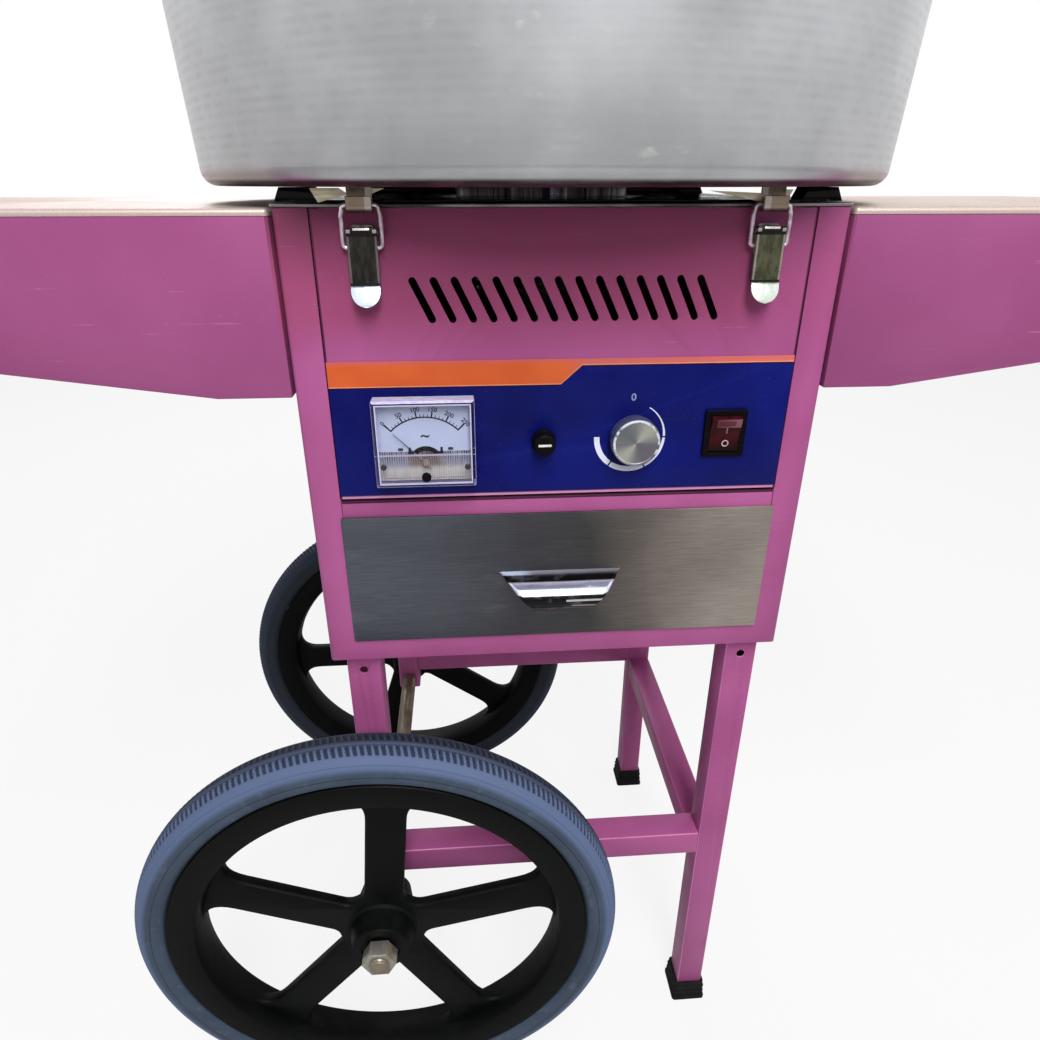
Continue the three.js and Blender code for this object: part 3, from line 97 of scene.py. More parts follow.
def light_room(ambient):
    """White to the eye and in reflections, and plain grey light on everything else."""
    room = bpy.data.worlds.new("room")
    room.use_nodes = True
    bpy.context.scene.world = room
    tree = room.node_tree
    ray = tree.nodes.new("ShaderNodeLightPath")
    seen = ray.outputs["Is Camera Ray"]
    for kind in ("Is Glossy Ray", "Is Transmission Ray"):
        either = tree.nodes.new("ShaderNodeMath")
        either.operation = "MAXIMUM"
        tree.links.new(seen, either.inputs[0])
        tree.links.new(ray.outputs[kind], either.inputs[1])
        seen = either.outputs[0]
    level = tree.nodes.new("ShaderNodeMapRange")
    level.inputs["To Min"].default_value = ambient
    level.inputs["To Max"].default_value = 1.0
    tree.links.new(seen, level.inputs["Value"])
    tree.links.new(level.outputs[0], tree.nodes["Background"].inputs["Strength"])
    tree.nodes["Background"].inputs["Color"].default_value = (1, 1, 1, 1)


def lay_floor():
    mesh = bpy.data.meshes.new("floor")
    corners = [
        (x * FLOOR_HALF, y * FLOOR_HALF, FLOOR_LEVEL)
        for x, y in ((-1, -1), (1, -1), (1, 1), (-1, 1))
    ]
    mesh.from_pydata(corners, [], [(0, 1, 2, 3)])
    board = bpy.data.objects.new("floor", mesh)
    bpy.context.scene.collection.objects.link(board)
    pale = bpy.data.materials.new("pale_floor")
    pale.use_nodes = True
    tree = pale.node_tree
    matt = tree.nodes["Principled BSDF"]
    matt.inputs["Base Color"].default_value = srgb(214, 214, 212)
    matt.inputs["Roughness"].default_value = 0.9
    glow = tree.nodes.new("ShaderNodeEmission")
    blend = tree.nodes.new("ShaderNodeMixShader")
    ray = tree.nodes.new("ShaderNodeLightPath")
    seen = tree.nodes.new("ShaderNodeMath")
    seen.operation = "MULTIPLY"
    seen.inputs[1].default_value = FLOOR_GLOW
    tree.links.new(ray.outputs["Is Camera Ray"], seen.inputs[0])
    tree.links.new(seen.outputs[0], blend.inputs[0])
    tree.links.new(matt.outputs[0], blend.inputs[1])
    tree.links.new(glow.outputs[0], blend.inputs[2])
    tree.links.new(blend.outputs[0], tree.nodes["Material Output"].inputs["Surface"])
    mesh.materials.append(pale)


place_camera()
light_room(AMBIENT)
lay_floor()
hang_lamp("key", (0.15, -1.95, 2.65), (0.8, 2.0), 84)
hang_lamp("side", (2.3, -0.4, 2.3), (1.6, 1.6), 10)
hang_lamp("back", (-0.4, 2.3, 2.4), (1.8, 1.8), 40)
bpy.context.scene.view_settings.view_transform = "Standard"


# Cart frame.
# Legs and stretchers of 25 mm square steel tube, welded at the corners, with a plate on top.
# The frame and the cabinet wear a pink baked enamel, faintly orange-peeled; the wing aprons wear the same
# enamel, painted a little darker as painted shade.
PINK = srgb(170, 89, 142)
PINK_DEEP = srgb(159, 80, 131)
# The wing aprons' pink, painted a little darker as painted shade.
WING_SHADED_DEEP = srgb(150, 75, 124)
WING_SHADED_PINK = srgb(156, 81, 130)
PRIMER = srgb(196, 148, 176)
TUBE_EDGE = 0.9 * MM
# Where the pink is painted redder and darker as shade under the bowl and at the tops of the stiles.
SHADE_HALF = 172 * MM
SHADE_START = 664 * MM
SHADE_FULL = 702 * MM
TOP_SHADE_START = 118 * MM
TOP_SHADE_FULL = 150 * MM
CABINET_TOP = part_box("cabinet_wrap")[1].z
LIP_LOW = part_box("front_panel")[0].z
LIP_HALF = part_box("front_panel")[1].x
PANEL_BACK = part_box("front_panel")[1].y
RAIL_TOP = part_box("mid_rail")[1].z
LIP_HIGHLIGHT = 1.5 * MM
LIP_SHADE = 1.7 * MM
SEAM_HALF = 0.9 * MM


def wired(operation, swapped=False):
    """A Wire method that adds one Math node, for its own socket and the other values."""
    def method(self, *others):
        terms = (*others, self) if swapped else (self, *others)
        return self.finish.node("ShaderNodeMath", {"operation": operation}, dict(enumerate(terms)))
    return method


class Wire:
    """A shader socket in a Python expression. Each operator adds the Math node that it stands for."""

    __add__ = wired("ADD")
    __radd__ = wired("ADD", True)
    __sub__ = wired("SUBTRACT")
    __rsub__ = wired("SUBTRACT", True)
    __mul__ = wired("MULTIPLY")
    __rmul__ = wired("MULTIPLY", True)
    __truediv__ = wired("DIVIDE")
    __pow__ = wired("POWER")
    __abs__ = wired("ABSOLUTE")
    __gt__ = wired("GREATER_THAN")
    __lt__ = wired("LESS_THAN")
    sine = wired("SINE")
    cosine = wired("COSINE")
    root = wired("SQRT")
    angle = wired("ARCTAN2")
    greater = wired("MAXIMUM")
    smaller = wired("MINIMUM")
    pingpong = wired("PINGPONG")

    def __init__(self, finish, socket):
        self.finish = finish
        self.socket = socket

    def hypot(self, other):
        return (self * self + other * other).root()

    def between(self, low, high):
        return (self > low) * (self < high)

    def fade(self, start, end, first=0.0, last=1.0):
        """Goes smoothly from first at start to last at end, and stays there."""
        inputs = {"Value": self, "From Min": start, "From Max": end, "To Min": first, "To Max": last}
        return self.finish.node("ShaderNodeMapRange", {"interpolation_type": "SMOOTHSTEP"}, inputs)


class Finish:
    """One surface finish: a material whose patterns all start from the point on the piece, in metres."""

    def __init__(self, name, roughness=0.5, metallic=0.0, **constants):
        self.material = bpy.data.materials.new(name)
        self.material.use_nodes = True
        self.tree = self.material.node_tree
        self.shader = self.tree.nodes["Principled BSDF"]
        self.point = self.node("ShaderNodeTexCoord", output="Object")
        split = self.node("ShaderNodeSeparateXYZ", inputs={0: self.point}).socket.node
        self.x, self.y, self.z = (Wire(self, end) for end in split.outputs)
        self.wear("Roughness", roughness)
        self.wear("Metallic", metallic)
        for key, value in constants.items():
            self.shader.inputs[key.replace("_", " ").title().replace("Ior", "IOR")].default_value = value

    def node(self, kind, settings=None, inputs=None, output=0):
        made = self.tree.nodes.new(kind)
        for key, value in (settings or {}).items():
            if key == "stops":
                self.set_stops(made.color_ramp, value)
            else:
                setattr(made, key, value)
        for key, value in (inputs or {}).items():
            self.join(made.inputs[key], value)
        return Wire(self, made.outputs[output])

    def set_stops(self, ramp, stops):
        while len(ramp.elements) < len(stops):
            ramp.elements.new(1.0)
        for element, (place, colour) in zip(ramp.elements, stops):
            element.position = place
            element.color = colour

    def join(self, socket, value):
        if isinstance(value, Wire):
            self.tree.links.new(value.socket, socket)
        else:
            socket.default_value = value

    def wear(self, name, value):
        self.join(self.shader.inputs[name], value)

    def noise(self, size, detail=2.0, stretch=(1, 1, 1), roughness=0.5):
        """Mottling with spots about size metres across, drawn out along an axis by stretch."""
        scale = tuple(1 / (size * share) for share in stretch)
        place = self.node("ShaderNodeMapping", inputs={"Vector": self.point, "Scale": scale})
        inputs = {"Vector": place, "Scale": 1.0, "Detail": detail, "Roughness": roughness}
        return self.node("ShaderNodeTexNoise", inputs=inputs)

    def mix(self, share, first, second):
        return self.node("ShaderNodeMix", {"data_type": "RGBA"}, {0: share, 6: first, 7: second}, 2)

    def ramp(self, value, stops):
        return self.node("ShaderNodeValToRGB", {"stops": stops}, {0: value})

    def relief(self, height, depth):
        """Height from 0 to 1, as bump that is depth metres deep."""
        bump = self.node("ShaderNodeBump", inputs={"Strength": 1.0, "Distance": depth, "Height": height})
        self.wear("Normal", bump)

    def dress(self, tone, roughness, height, depth):
        """The usual end of a recipe: colour, roughness and bump."""
        self.wear("Base Color", tone)
        self.wear("Roughness", roughness)
        self.relief(height, depth)
        return self.material


def enamel(name, deep, tone, scuffing, shine):
    """Baked enamel: two tones of the pink in soft clouds, specks, thin scuffs and a fine orange peel.
    Painted shade makes it redder under the bowl and darker at the tops of the stiles, less so on the right.
    A painted highlight runs along the panel's lower lip over a painted dark gap, and painted shade darkens the
    seams beside the panel."""
    finish = Finish(name, specular_ior_level=shine)
    cloud = finish.noise(0.09, 3).fade(0.35, 0.68)
    tone = finish.mix(cloud, deep, tone)
    # Painted shade: redder under the bowl and darker at the tops of the stiles, less so on the right.
    middle = abs(finish.x) < SHADE_HALF
    shade_eased_right = finish.x.fade(TOP_SHADE_START - 16 * MM, TOP_SHADE_START + 6 * MM, 1, 0.45)
    under_bowl_shade = finish.z.fade(SHADE_START, SHADE_FULL, 0, 0.9) * middle * (finish.y < 0)
    tone = finish.mix(under_bowl_shade * shade_eased_right, tone, srgb(152, 70, 108))
    # Painted highlight along the panel's lower lip, and painted shade in the gap above the rail.
    panel = (abs(finish.x) < LIP_HALF) * (finish.y < 0)
    lip = finish.z.between(LIP_LOW, LIP_LOW + LIP_HIGHLIGHT) * panel
    tone = finish.mix(lip * 0.7, tone, srgb(216, 160, 196))
    gap = finish.z.between(RAIL_TOP - LIP_SHADE, RAIL_TOP + 0.1 * MM) * panel
    tone = finish.mix(gap * 0.9, tone, srgb(40, 6, 24))
    # Painted shade in the seams beside the panel.
    seam = (abs(abs(finish.x) - LIP_HALF) < SEAM_HALF) * (finish.y < PANEL_BACK) * (finish.z > LIP_LOW)
    tone = finish.mix(seam * 0.8, tone, srgb(58, 14, 38))
    # Painted shade at the tops of the stiles.
    stile_top_shade = finish.z.fade(SHADE_FULL, CABINET_TOP, 0, 0.62) * abs(finish.x).fade(TOP_SHADE_START, TOP_SHADE_FULL)
    tone = finish.mix(stile_top_shade * middle * shade_eased_right, tone, srgb(78, 36, 50))
    scuff = finish.noise(0.006, 4, (9, 9, 0.5), 0.6).fade(0.66, 0.74, 0, scuffing)
    speck = finish.noise(0.0016, 1).fade(0.74, 0.8, 0, 0.5)
    return finish.dress(
        finish.mix(scuff.greater(speck), tone, PRIMER),
        finish.noise(0.03, 3).fade(0.3, 0.7, 0.3, 0.42) + scuff * 0.4,
        finish.noise(0.0022, 2) + finish.noise(0.05, 1) * 0.6 - speck * 0.5, 0.05 * MM,
    )


def paint(material, *names):
    """Gives CAD pieces their finish."""
    for name in names:
        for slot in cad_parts[name].material_slots:
            slot.material = material


def ease_edges(width, *names, edge_highlight=None):
    """Small rounds on the edges of CAD pieces, which can take a lighter finish of their own as a painted
    highlight.
    """
    for name in names:
        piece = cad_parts[name]
        weld = piece.modifiers.new("weld", "WELD")
        weld.merge_threshold = 0.01 * MM
        bevel = piece.modifiers.new("edges", "BEVEL")
        bevel.width = width
        bevel.segments = 2
        bevel.limit_method = "ANGLE"
        bevel.angle_limit = math.radians(32)
        bevel.harden_normals = True
        bevel.use_clamp_overlap = True
        if edge_highlight:
            piece.data.materials.append(edge_highlight)
            bevel.material = len(piece.data.materials) - 1
        for polygon in piece.data.polygons:
            polygon.use_smooth = True


pink = enamel("pink_enamel", PINK_DEEP, PINK, 0.35, 0.14)
# The tube edges' lighter pink is a painted highlight, with a little more wear.
pink_edge_wear_and_highlight = enamel("pink_edge_wear_and_highlight", srgb(184, 102, 156), srgb(206, 126, 178), 0.6, 0.4)
LEGS = ["leg_front_right", "leg_rear_right", "leg_front_left", "leg_rear_left"]
STRETCHERS = ["stretcher_front", "stretcher_rear", "stretcher_right"]
paint(pink, *LEGS, *STRETCHERS, "cart_top_plate")
ease_edges(TUBE_EDGE, *LEGS, *STRETCHERS, edge_highlight=pink_edge_wear_and_highlight)
ease_edges(0.6 * MM, "cart_top_plate")


# Feet of the two right legs.
# Black rubber boots, moulded with a flared sole and two ribs, pushed on over the open tube ends.
BOOT_HALF = 16.5 * MM
BOOT_WALL = 3.7 * MM
BOOT_FLOOR = 4 * MM


class Blank:
    """A piece in the making: points and faces gathered from turned, cut, pressed and bent parts."""

    def __init__(self):
        self.points = []
        self.faces = []

    def skin(self, rings, first_cap=True, last_cap=True, closed=True):
        """Joins a row of rings, which all have the same number of points."""
        start = len(self.points)
        count = len(rings[0])
        for ring in rings:
            self.points.extend(tuple(point) for point in ring)
        across = count if closed else count - 1
        for i in range(len(rings) - 1):
            low = start + i * count
            for j in range(across):
                k = (j + 1) % count
                self.faces.append((low + j, low + k, low + count + k, low + count + j))
        if first_cap:
            self.faces.append(tuple(range(start + count - 1, start - 1, -1)))
        if last_cap:
            last = start + (len(rings) - 1) * count
            self.faces.append(tuple(range(last, last + count)))
        return self

    def turned(self, profile, segments=64, place=Matrix()):
        """A closed profile of radius and height, turned about the place's Z."""
        turns = [2 * math.pi * i / segments for i in range(segments)]
        rings = []
        for radius, height in profile:
            ring = [place @ Vector((radius * math.cos(a), radius * math.sin(a), height)) for a in turns]
            rings.append(ring)
        rings.append(rings[0])
        return self.skin(rings, False, False)

    def spun(self, profile, segments, place):
        """Turned from a profile in millimetres."""
        return self.turned([(radius * MM, height * MM) for radius, height in profile], segments, place)

    def ribbed(self, shape, count, groove, place):
        """A shape of radius, height and share of the ribs, in mm. groove gives their depth at an angle."""
        rings = []
        for radius, height, share in shape:
            ring = []
            for i in range(count):
                a = 2 * math.pi * i / count
                reach = (radius - share * groove(a)) * MM
                ring.append(place @ Vector((reach * math.cos(a), reach * math.sin(a), height * MM)))
            rings.append(ring)
        return self.skin(rings)

    def plate(self, outline, thick, edge=0.0, holes=(), place=Matrix(), steps=3):
        """A flat plate from 0 to thick along the place's Z, with rounded edges and smooth holes."""
        loops = [np.array(outline, float)] + [np.array(hole, float) for hole in holes]
        signs = [-1.0] + [1.0] * len(holes)
        flat = []
        for loop, sign in zip(loops, signs):
            rings = []
            for i in range(steps + 1):
                bend = math.pi / 2 * (1 - i / steps)
                moved = inset(loop, sign * edge * (1 - math.cos(bend)))
                rings.append([(*uv, edge * (1 - math.sin(bend))) for uv in moved])
                if edge == 0:
                    break
            top = [[(u, v, thick - w) for u, v, w in ring] for ring in reversed(rings)]
            wall = [[place @ Vector(point) for point in ring] for ring in rings + top]
            start = len(self.points)
            self.skin(wall, False, False)
            lid = [Vector((u, v, 0)) for u, v, _ in rings[0]]
            flat.append((start, len(loop), len(self.points) - len(loop), lid))
        corners = [first + i for first, count, _, _ in flat for i in range(count)]
        lids = [last + i for _, count, last, _ in flat for i in range(count)]
        for a, b, c in tessellate_polygon([ring for _, _, _, ring in flat]):
            self.faces.append((corners[c], corners[b], corners[a]))
            self.faces.append((lids[a], lids[b], lids[c]))
        return self

    def wire(self, path, radius, sides):
        """A round bar bent along a path of points."""
        path = [Vector(point) for point in path]
        ahead = [
            (path[min(i + 1, len(path) - 1)] - path[max(i - 1, 0)]).normalized()
            for i in range(len(path))
        ]
        side = ahead[0].orthogonal().normalized()
        rings = []
        for point, way in zip(path, ahead):
            side = (side - way * side.dot(way)).normalized()
            up = way.cross(side)
            turns = [2 * math.pi * i / sides for i in range(sides)]
            rings.append([point + (side * math.cos(a) + up * math.sin(a)) * radius for a in turns])
        return self.skin(rings)

    def piece(self, name, material, body="machine", stands_for=None, slot=None, crisp=38):
        bench = bmesh.new()
        points = [bench.verts.new(point) for point in self.points]
        for face in self.faces:
            try:
                bench.faces.new([points[i] for i in face])
            except ValueError:
                continue
        bmesh.ops.remove_doubles(bench, verts=bench.verts, dist=0.002 * MM)
        bmesh.ops.recalc_face_normals(bench, faces=bench.faces)
        mesh = bpy.data.meshes.new(name)
        bench.to_mesh(mesh)
        bench.free()
        for polygon in mesh.polygons:
            polygon.use_smooth = True
        mesh.set_sharp_from_angle(angle=math.radians(crisp))
        mesh.materials.append(material)
        made = bpy.data.objects.new(name, mesh)
        bpy.context.scene.collection.objects.link(made)
        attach(made, body)
        if stands_for:
            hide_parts(stands_for)


def inset(loop, distance):
    """Moves an outline's points along their normals, outwards if it is anticlockwise and distance positive."""
    if distance == 0:
        return loop
    ahead = np.roll(loop, -1, 0) - loop
    ahead /= np.linalg.norm(ahead, axis=1)[:, None]
    normal = np.stack([ahead[:, 1], -ahead[:, 0]], 1)
    both = normal + np.roll(normal, 1, 0)
    both /= np.linalg.norm(both, axis=1)[:, None]
    stretch = np.sum(both * normal, axis=1)
    return loop + both * (distance / np.maximum(stretch, 0.5))[:, None]


def rounded(half_u, half_v, radius, steps=5):
    """An upright rectangle with round corners, anticlockwise round the middle."""
    outline = []
    for quarter, (u, v) in enumerate([(1, 1), (-1, 1), (-1, -1), (1, -1)]):
        for i in range(steps + 1):
            a = math.pi / 2 * (quarter + i / steps)
            corner = (u * (half_u - radius), v * (half_v - radius))
            outline.append((corner[0] + radius * math.cos(a), corner[1] + radius * math.sin(a)))
    return outline


def arc_of(radius, start, end, count, u=0.0, v=0.0):
    return [(u + radius * math.cos(a), v + radius * math.sin(a)) for a in np.linspace(start, end, count)]


def ring_of(radius, count, u=0.0, v=0.0):
    turns = [2 * math.pi * i / count for i in range(count)]
    return [(u + radius * math.cos(a), v + radius * math.sin(a)) for a in turns]


def rubber(name, dark, light, grain=0.0009, depth=0.12, roughness=0.62):
    """Moulded rubber: a dull skin with a fine mould grain, paler where dust has settled."""
    finish = Finish(name, specular_ior_level=0.1)
    dust = finish.noise(0.035, 4, roughness=0.6).fade(0.42, 0.72)
    return finish.dress(
        finish.mix(dust, dark, light), dust * 0.18 + roughness, finish.noise(grain, 2), depth * MM,
    )


black_rubber = rubber("black_rubber", srgb(14, 14, 15), srgb(34, 34, 36))
for end in ("front", "rear"):
    low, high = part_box("foot_" + end)
    middle = (low + high) / 2
    boot = Blank()
    shape = [
        (0, -0.8), (0.4, 0), (3.2, 0), (4.2, -0.9), (8.4, -1.4), (9, -0.8), (10, -0.8), (10.6, -1.5),
        (15.4, -1.7), (16, -1.1), (17, -1.1), (17.6, -1.8), (23.2, -2), (24, -2.6),
    ]
    rings = [
        [(u, v, z * MM) for u, v in rounded(BOOT_HALF + grow * MM, BOOT_HALF + grow * MM, 3 * MM)]
        for z, grow in shape
    ]
    mouth = BOOT_HALF - BOOT_WALL
    for z in (24, BOOT_FLOOR / MM):
        rings.append([(u, v, z * MM) for u, v in rounded(mouth, mouth, 1.2 * MM)])
    rings = [[(u + middle.x, v + middle.y, z) for u, v, z in ring] for ring in rings]
    boot.skin(rings)
    boot.piece("rubber_foot_" + end, black_rubber, stands_for="foot_" + end, slot="black_rubber")


# Tyres.
# Puncture-proof grey rubber, 396 mm across: a row of short cross ribs on each side of a centre rib,
# a plain shoulder, one fine raised line and a smooth side wall down to the bead.
TYRE_RADIUS = 198 * MM
TYRE_SHOULDER_DROP = 19.4 * MM
TYRE_HALF_WIDTH = 19.5 * MM
TYRE_BEAD = (171.1 * MM, 15 * MM)
TREAD_RIBS = 236
TREAD_DEPTH = 1.8 * MM
SAMPLES_PER_RIB = 7
RIB_ROW = (7, 34)
CENTRE_GROOVE = (4.6, 6.6)
SHOULDER_LINE = 58
WALL_LINE = 181 * MM
FRONT_SPOKE_TURN = -5.4


def wheel_place(end):
    """From the wheel's own frame, outer side up, to the machine's."""
    low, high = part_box("tyre_" + end)
    outward = -90 if end == "rear" else 90
    spoke = 90 if end == "rear" else FRONT_SPOKE_TURN
    turn = Matrix.Rotation(math.radians(outward), 4, "X") @ Matrix.Rotation(math.radians(spoke), 4, "Z")
    return Matrix.Translation((low + high) / 2) @ turn


def tread_cut(lean, around):
    """How deep the tread is cut at an angle from the crown and an angle round the wheel, from 0 to 1."""
    across = abs(lean)
    centre = np.clip(1 - abs(across - sum(CENTRE_GROOVE) / 2) / 1.3, 0, 1)
    start, end = RIB_ROW
    inside = np.clip(min(across - start, end - across) / 2.0, 0, 1) if start < across < end else 0.0
    slant = 0.35 * lean / end * 2 * math.pi
    wave = np.sin(TREAD_RIBS * around + slant * 1.6)
    return np.clip(centre * 0.8 + inside * np.clip(0.5 - wave * 1.6, 0, 1), 0, 1)


def build_tyre(end, material):
    place = wheel_place(end)
    line_leans = [s * (SHOULDER_LINE + d) for s in (-1, 1) for d in (-1.6, -0.6, 0.6, 1.6)]
    leans = sorted({*np.linspace(-90, 90, 61), *line_leans})
    around = np.linspace(0, 2 * np.pi, TREAD_RIBS * SAMPLES_PER_RIB, endpoint=False)
    profile = []
    for lean in leans:
        turn = math.radians(lean)
        radius = TYRE_RADIUS - TYRE_SHOULDER_DROP * (1 - max(math.cos(turn), 0) ** 0.75)
        side = math.copysign(abs(math.sin(turn)) ** 0.9, turn) * TYRE_HALF_WIDTH
        line = 0.35 * MM if abs(abs(lean) - SHOULDER_LINE) < 0.9 else 0.0
        profile.append((radius + line * 0.6, side + math.copysign(line, turn), lean))
    wall = [(0.62, 0.985), (0.4, 0.93), (0.2, 0.84), (0.06, 0.76)]
    bead, seat = TYRE_BEAD
    shoulder = TYRE_RADIUS - TYRE_SHOULDER_DROP
    lower = [(bead + (shoulder - bead) * share, TYRE_HALF_WIDTH * out, 90) for share, out in wall]
    lower.append((bead, seat, 90))
    mirrored = [(radius, -side, 90) for radius, side, _ in reversed(lower)]
    blank = Blank()
    rings = []
    for radius, side, lean in mirrored + profile + lower:
        cut = tread_cut(lean, around) * TREAD_DEPTH if abs(lean) < 40 else np.zeros(len(around))
        reach = radius - cut * math.cos(math.radians(min(abs(lean), 89)))
        depth = side - math.copysign(1, lean) * cut * math.sin(math.radians(min(abs(lean), 89)))
        ring = np.stack(
            [reach * np.cos(around), reach * np.sin(around), np.broadcast_to(depth, around.shape)], 1,
        )
        rings.append([place @ Vector(point) for point in ring])
    rings.append(rings[0])
    blank.skin(rings, False, False)
    blank.piece("ribbed_tyre_" + end, material, "wheel_" + end, "tyre_" + end, "tyre_rubber", crisp=50)


def tyre_rubber():
    """Grey rubber with painted light: a blue cast, a paler painted highlight on the tread, and painted shade
    in its grooves and on the side by the cart.
    """
    finish = Finish("tyre_rubber", specular_ior_level=0.12)
    front, rear = wheel_place("front").translation, wheel_place("rear").translation
    dx, dz = finish.x - rear.x, finish.z - rear.z
    reach = dx.hypot(dz)
    out = abs(finish.y - (front.y + rear.y) / 2) - (rear.y - front.y) / 2
    share = (abs(out) / TYRE_HALF_WIDTH).smaller(0.999)
    crown = (1 - share ** 2.222) ** 0.375 * TYRE_SHOULDER_DROP + (TYRE_RADIUS - TYRE_SHOULDER_DROP)
    # Painted shade at the bottom of the tread grooves.
    groove_shade = (crown - reach).fade(0.2 * MM, 1.3 * MM)
    dust = finish.noise(0.05, 4, roughness=0.6).fade(0.35, 0.7)
    rub = finish.noise(0.012, 3, (1, 0.25, 1)).fade(0.58, 0.72, 0, 0.5)
    # Painted highlight: the tread is painted paler and bluer than the side wall, whose blue cast is painted
    # light too.
    tread = reach.fade(TYRE_RADIUS - 14 * MM, TYRE_RADIUS - 8 * MM)
    wall = finish.mix(dust, srgb(58, 68, 84), srgb(67, 79, 97))
    base = finish.mix(tread, wall, finish.mix(groove_shade, srgb(92, 107, 140), srgb(50, 58, 78)))
    base = finish.mix(rub * 0.6, base, srgb(100, 112, 134))
    line = reach.between(WALL_LINE, WALL_LINE + 0.8 * MM).greater(reach < TYRE_BEAD[0] + 1.2 * MM)
    base = finish.mix(line * 0.65, base, srgb(30, 34, 44))
    # Painted shade on the inner side, by the cart.
    grime_and_shade = out.fade(9 * MM, -3 * MM)
    base = finish.mix(grime_and_shade * 0.8, base, srgb(30, 33, 37))
    return finish.dress(
        base, dust * 0.12 + 0.56, finish.noise(0.0011, 2) + finish.noise(0.006, 2) * 0.7, 0.14 * MM,
    )


tyre_grey = tyre_rubber()
for end in ("front", "rear"):
    build_tyre(end, tyre_grey)


# Rims.
# Black moulded wheels in one piece: a channel that the tyre sits in, five broad filleted spokes and a hub.
RIM_OUTER = 170.7 * MM
RIM_INNER = 146 * MM
RIM_HALF_WIDTH = 17 * MM
SPOKES = 5
SPOKE_WIDTH = 32 * MM
SPOKE_HALF_THICK = 5 * MM
SPOKE_FILLET = 24 * MM
HUB_RADIUS = 27 * MM
HUB_OUTWARD = 24 * MM
HUB_INWARD = 33.2 * MM
AXLE_HOLE = 8.3 * MM


def bend(start, corner, end, steps=8):
    """Points along a quadratic curve, without its first one."""
    start, corner, end = (np.array(p) for p in (start, corner, end))
    shares = [i / steps for i in range(1, steps + 1)]
    return [tuple((1 - t) ** 2 * start + 2 * t * (1 - t) * corner + t * t * end) for t in shares]


def spoke_window(index):
    outer = RIM_INNER
    inner = HUB_RADIUS + 10 * MM
    sector = math.pi / SPOKES
    middle = math.pi / 2 + (2 * index + 1) * sector

    def edge(radius):
        return sector - math.asin(SPOKE_WIDTH / 2 / radius)

    def at(radius, angle):
        return (radius * math.cos(middle + angle), radius * math.sin(middle + angle))

    def on_spoke(radius, side):
        return at(radius, side * edge(radius))

    fillet = SPOKE_FILLET / outer
    low = outer - SPOKE_FILLET
    hub = inner + 6 * MM
    span = edge(outer) - fillet
    path = [on_spoke(low, -1)]
    path += bend(path[-1], on_spoke(outer, -1), at(outer, -span))
    path += [at(outer, span * (-1 + i / 8)) for i in range(1, 17)]
    path += bend(path[-1], on_spoke(outer, 1), on_spoke(low, 1))
    path += [on_spoke(hub + (low - hub) * (1 - i / 8), 1) for i in range(1, 9)]
    path += bend(path[-1], on_spoke(inner, 1), at(inner, 0))
    path += bend(path[-1], on_spoke(inner, -1), on_spoke(hub, -1))
    path += [on_spoke(hub + (low - hub) * i / 8, -1) for i in range(1, 8)]
    return path


def build_rim(end, material):
    place = wheel_place(end)
    blank = Blank()
    lip = 3 * MM
    channel = [
        (RIM_INNER, -SPOKE_HALF_THICK), (RIM_INNER + lip * 0.6, -RIM_HALF_WIDTH + lip),
        (RIM_INNER + lip, -RIM_HALF_WIDTH + 0.8 * MM), (RIM_INNER + lip * 1.5, -RIM_HALF_WIDTH),
        (RIM_OUTER - 0.8 * MM, -RIM_HALF_WIDTH), (RIM_OUTER, -RIM_HALF_WIDTH + 0.8 * MM),
    ]
    channel += [(radius, -side) for radius, side in reversed(channel)]
    blank.turned(channel, 144, place)
    lift = place @ Matrix.Translation((0, 0, -SPOKE_HALF_THICK))
    windows = [spoke_window(i) for i in range(SPOKES)]
    blank.plate(ring_of(RIM_INNER + 9 * MM, 120), 2 * SPOKE_HALF_THICK, 3 * MM, windows, lift)
    hub = [
        (AXLE_HOLE, -HUB_INWARD), (HUB_RADIUS - 7 * MM, -HUB_INWARD),
        (HUB_RADIUS - 6 * MM, -HUB_INWARD + 1 * MM), (HUB_RADIUS, -SPOKE_HALF_THICK - 2 * MM),
        (HUB_RADIUS + 3 * MM, -SPOKE_HALF_THICK + 1 * MM), (HUB_RADIUS + 3 * MM, SPOKE_HALF_THICK - 1 * MM),
        (HUB_RADIUS, SPOKE_HALF_THICK + 2 * MM), (HUB_RADIUS - 3.5 * MM, HUB_OUTWARD - 1 * MM),
        (HUB_RADIUS - 4.5 * MM, HUB_OUTWARD), (16 * MM, HUB_OUTWARD), (15.4 * MM, HUB_OUTWARD - 1.4 * MM),
        (AXLE_HOLE, HUB_OUTWARD - 1.4 * MM),
    ]
    blank.turned(hub, 64, place)
    blank.piece("spoked_rim_" + end, material, "wheel_" + end, "rim_" + end, "black_plastic", crisp=30)


def moulded_black(name, dark=srgb(13, 14, 16), light=srgb(27, 29, 33), roughness=0.3, shine=0.14):
    """Black moulded plastic: a soft sheen, hairline marks and a trace of dust."""
    finish = Finish(name, specular_ior_level=shine)
    dust = finish.noise(0.04, 4, roughness=0.62).fade(0.45, 0.75)
    scratch = finish.noise(0.004, 3, (0.3, 5, 5)).fade(0.68, 0.74, 0, 0.35)
    return finish.dress(
        finish.mix(dust.greater(scratch), dark, light), dust * 0.2 + roughness, finish.noise(0.0013, 2),
        0.04 * MM,
    )


rim_black = moulded_black("rim_black", srgb(6, 7, 7), srgb(13, 14, 15), 0.42, 0.06)
for end in ("front", "rear"):
    build_rim(end, rim_black)


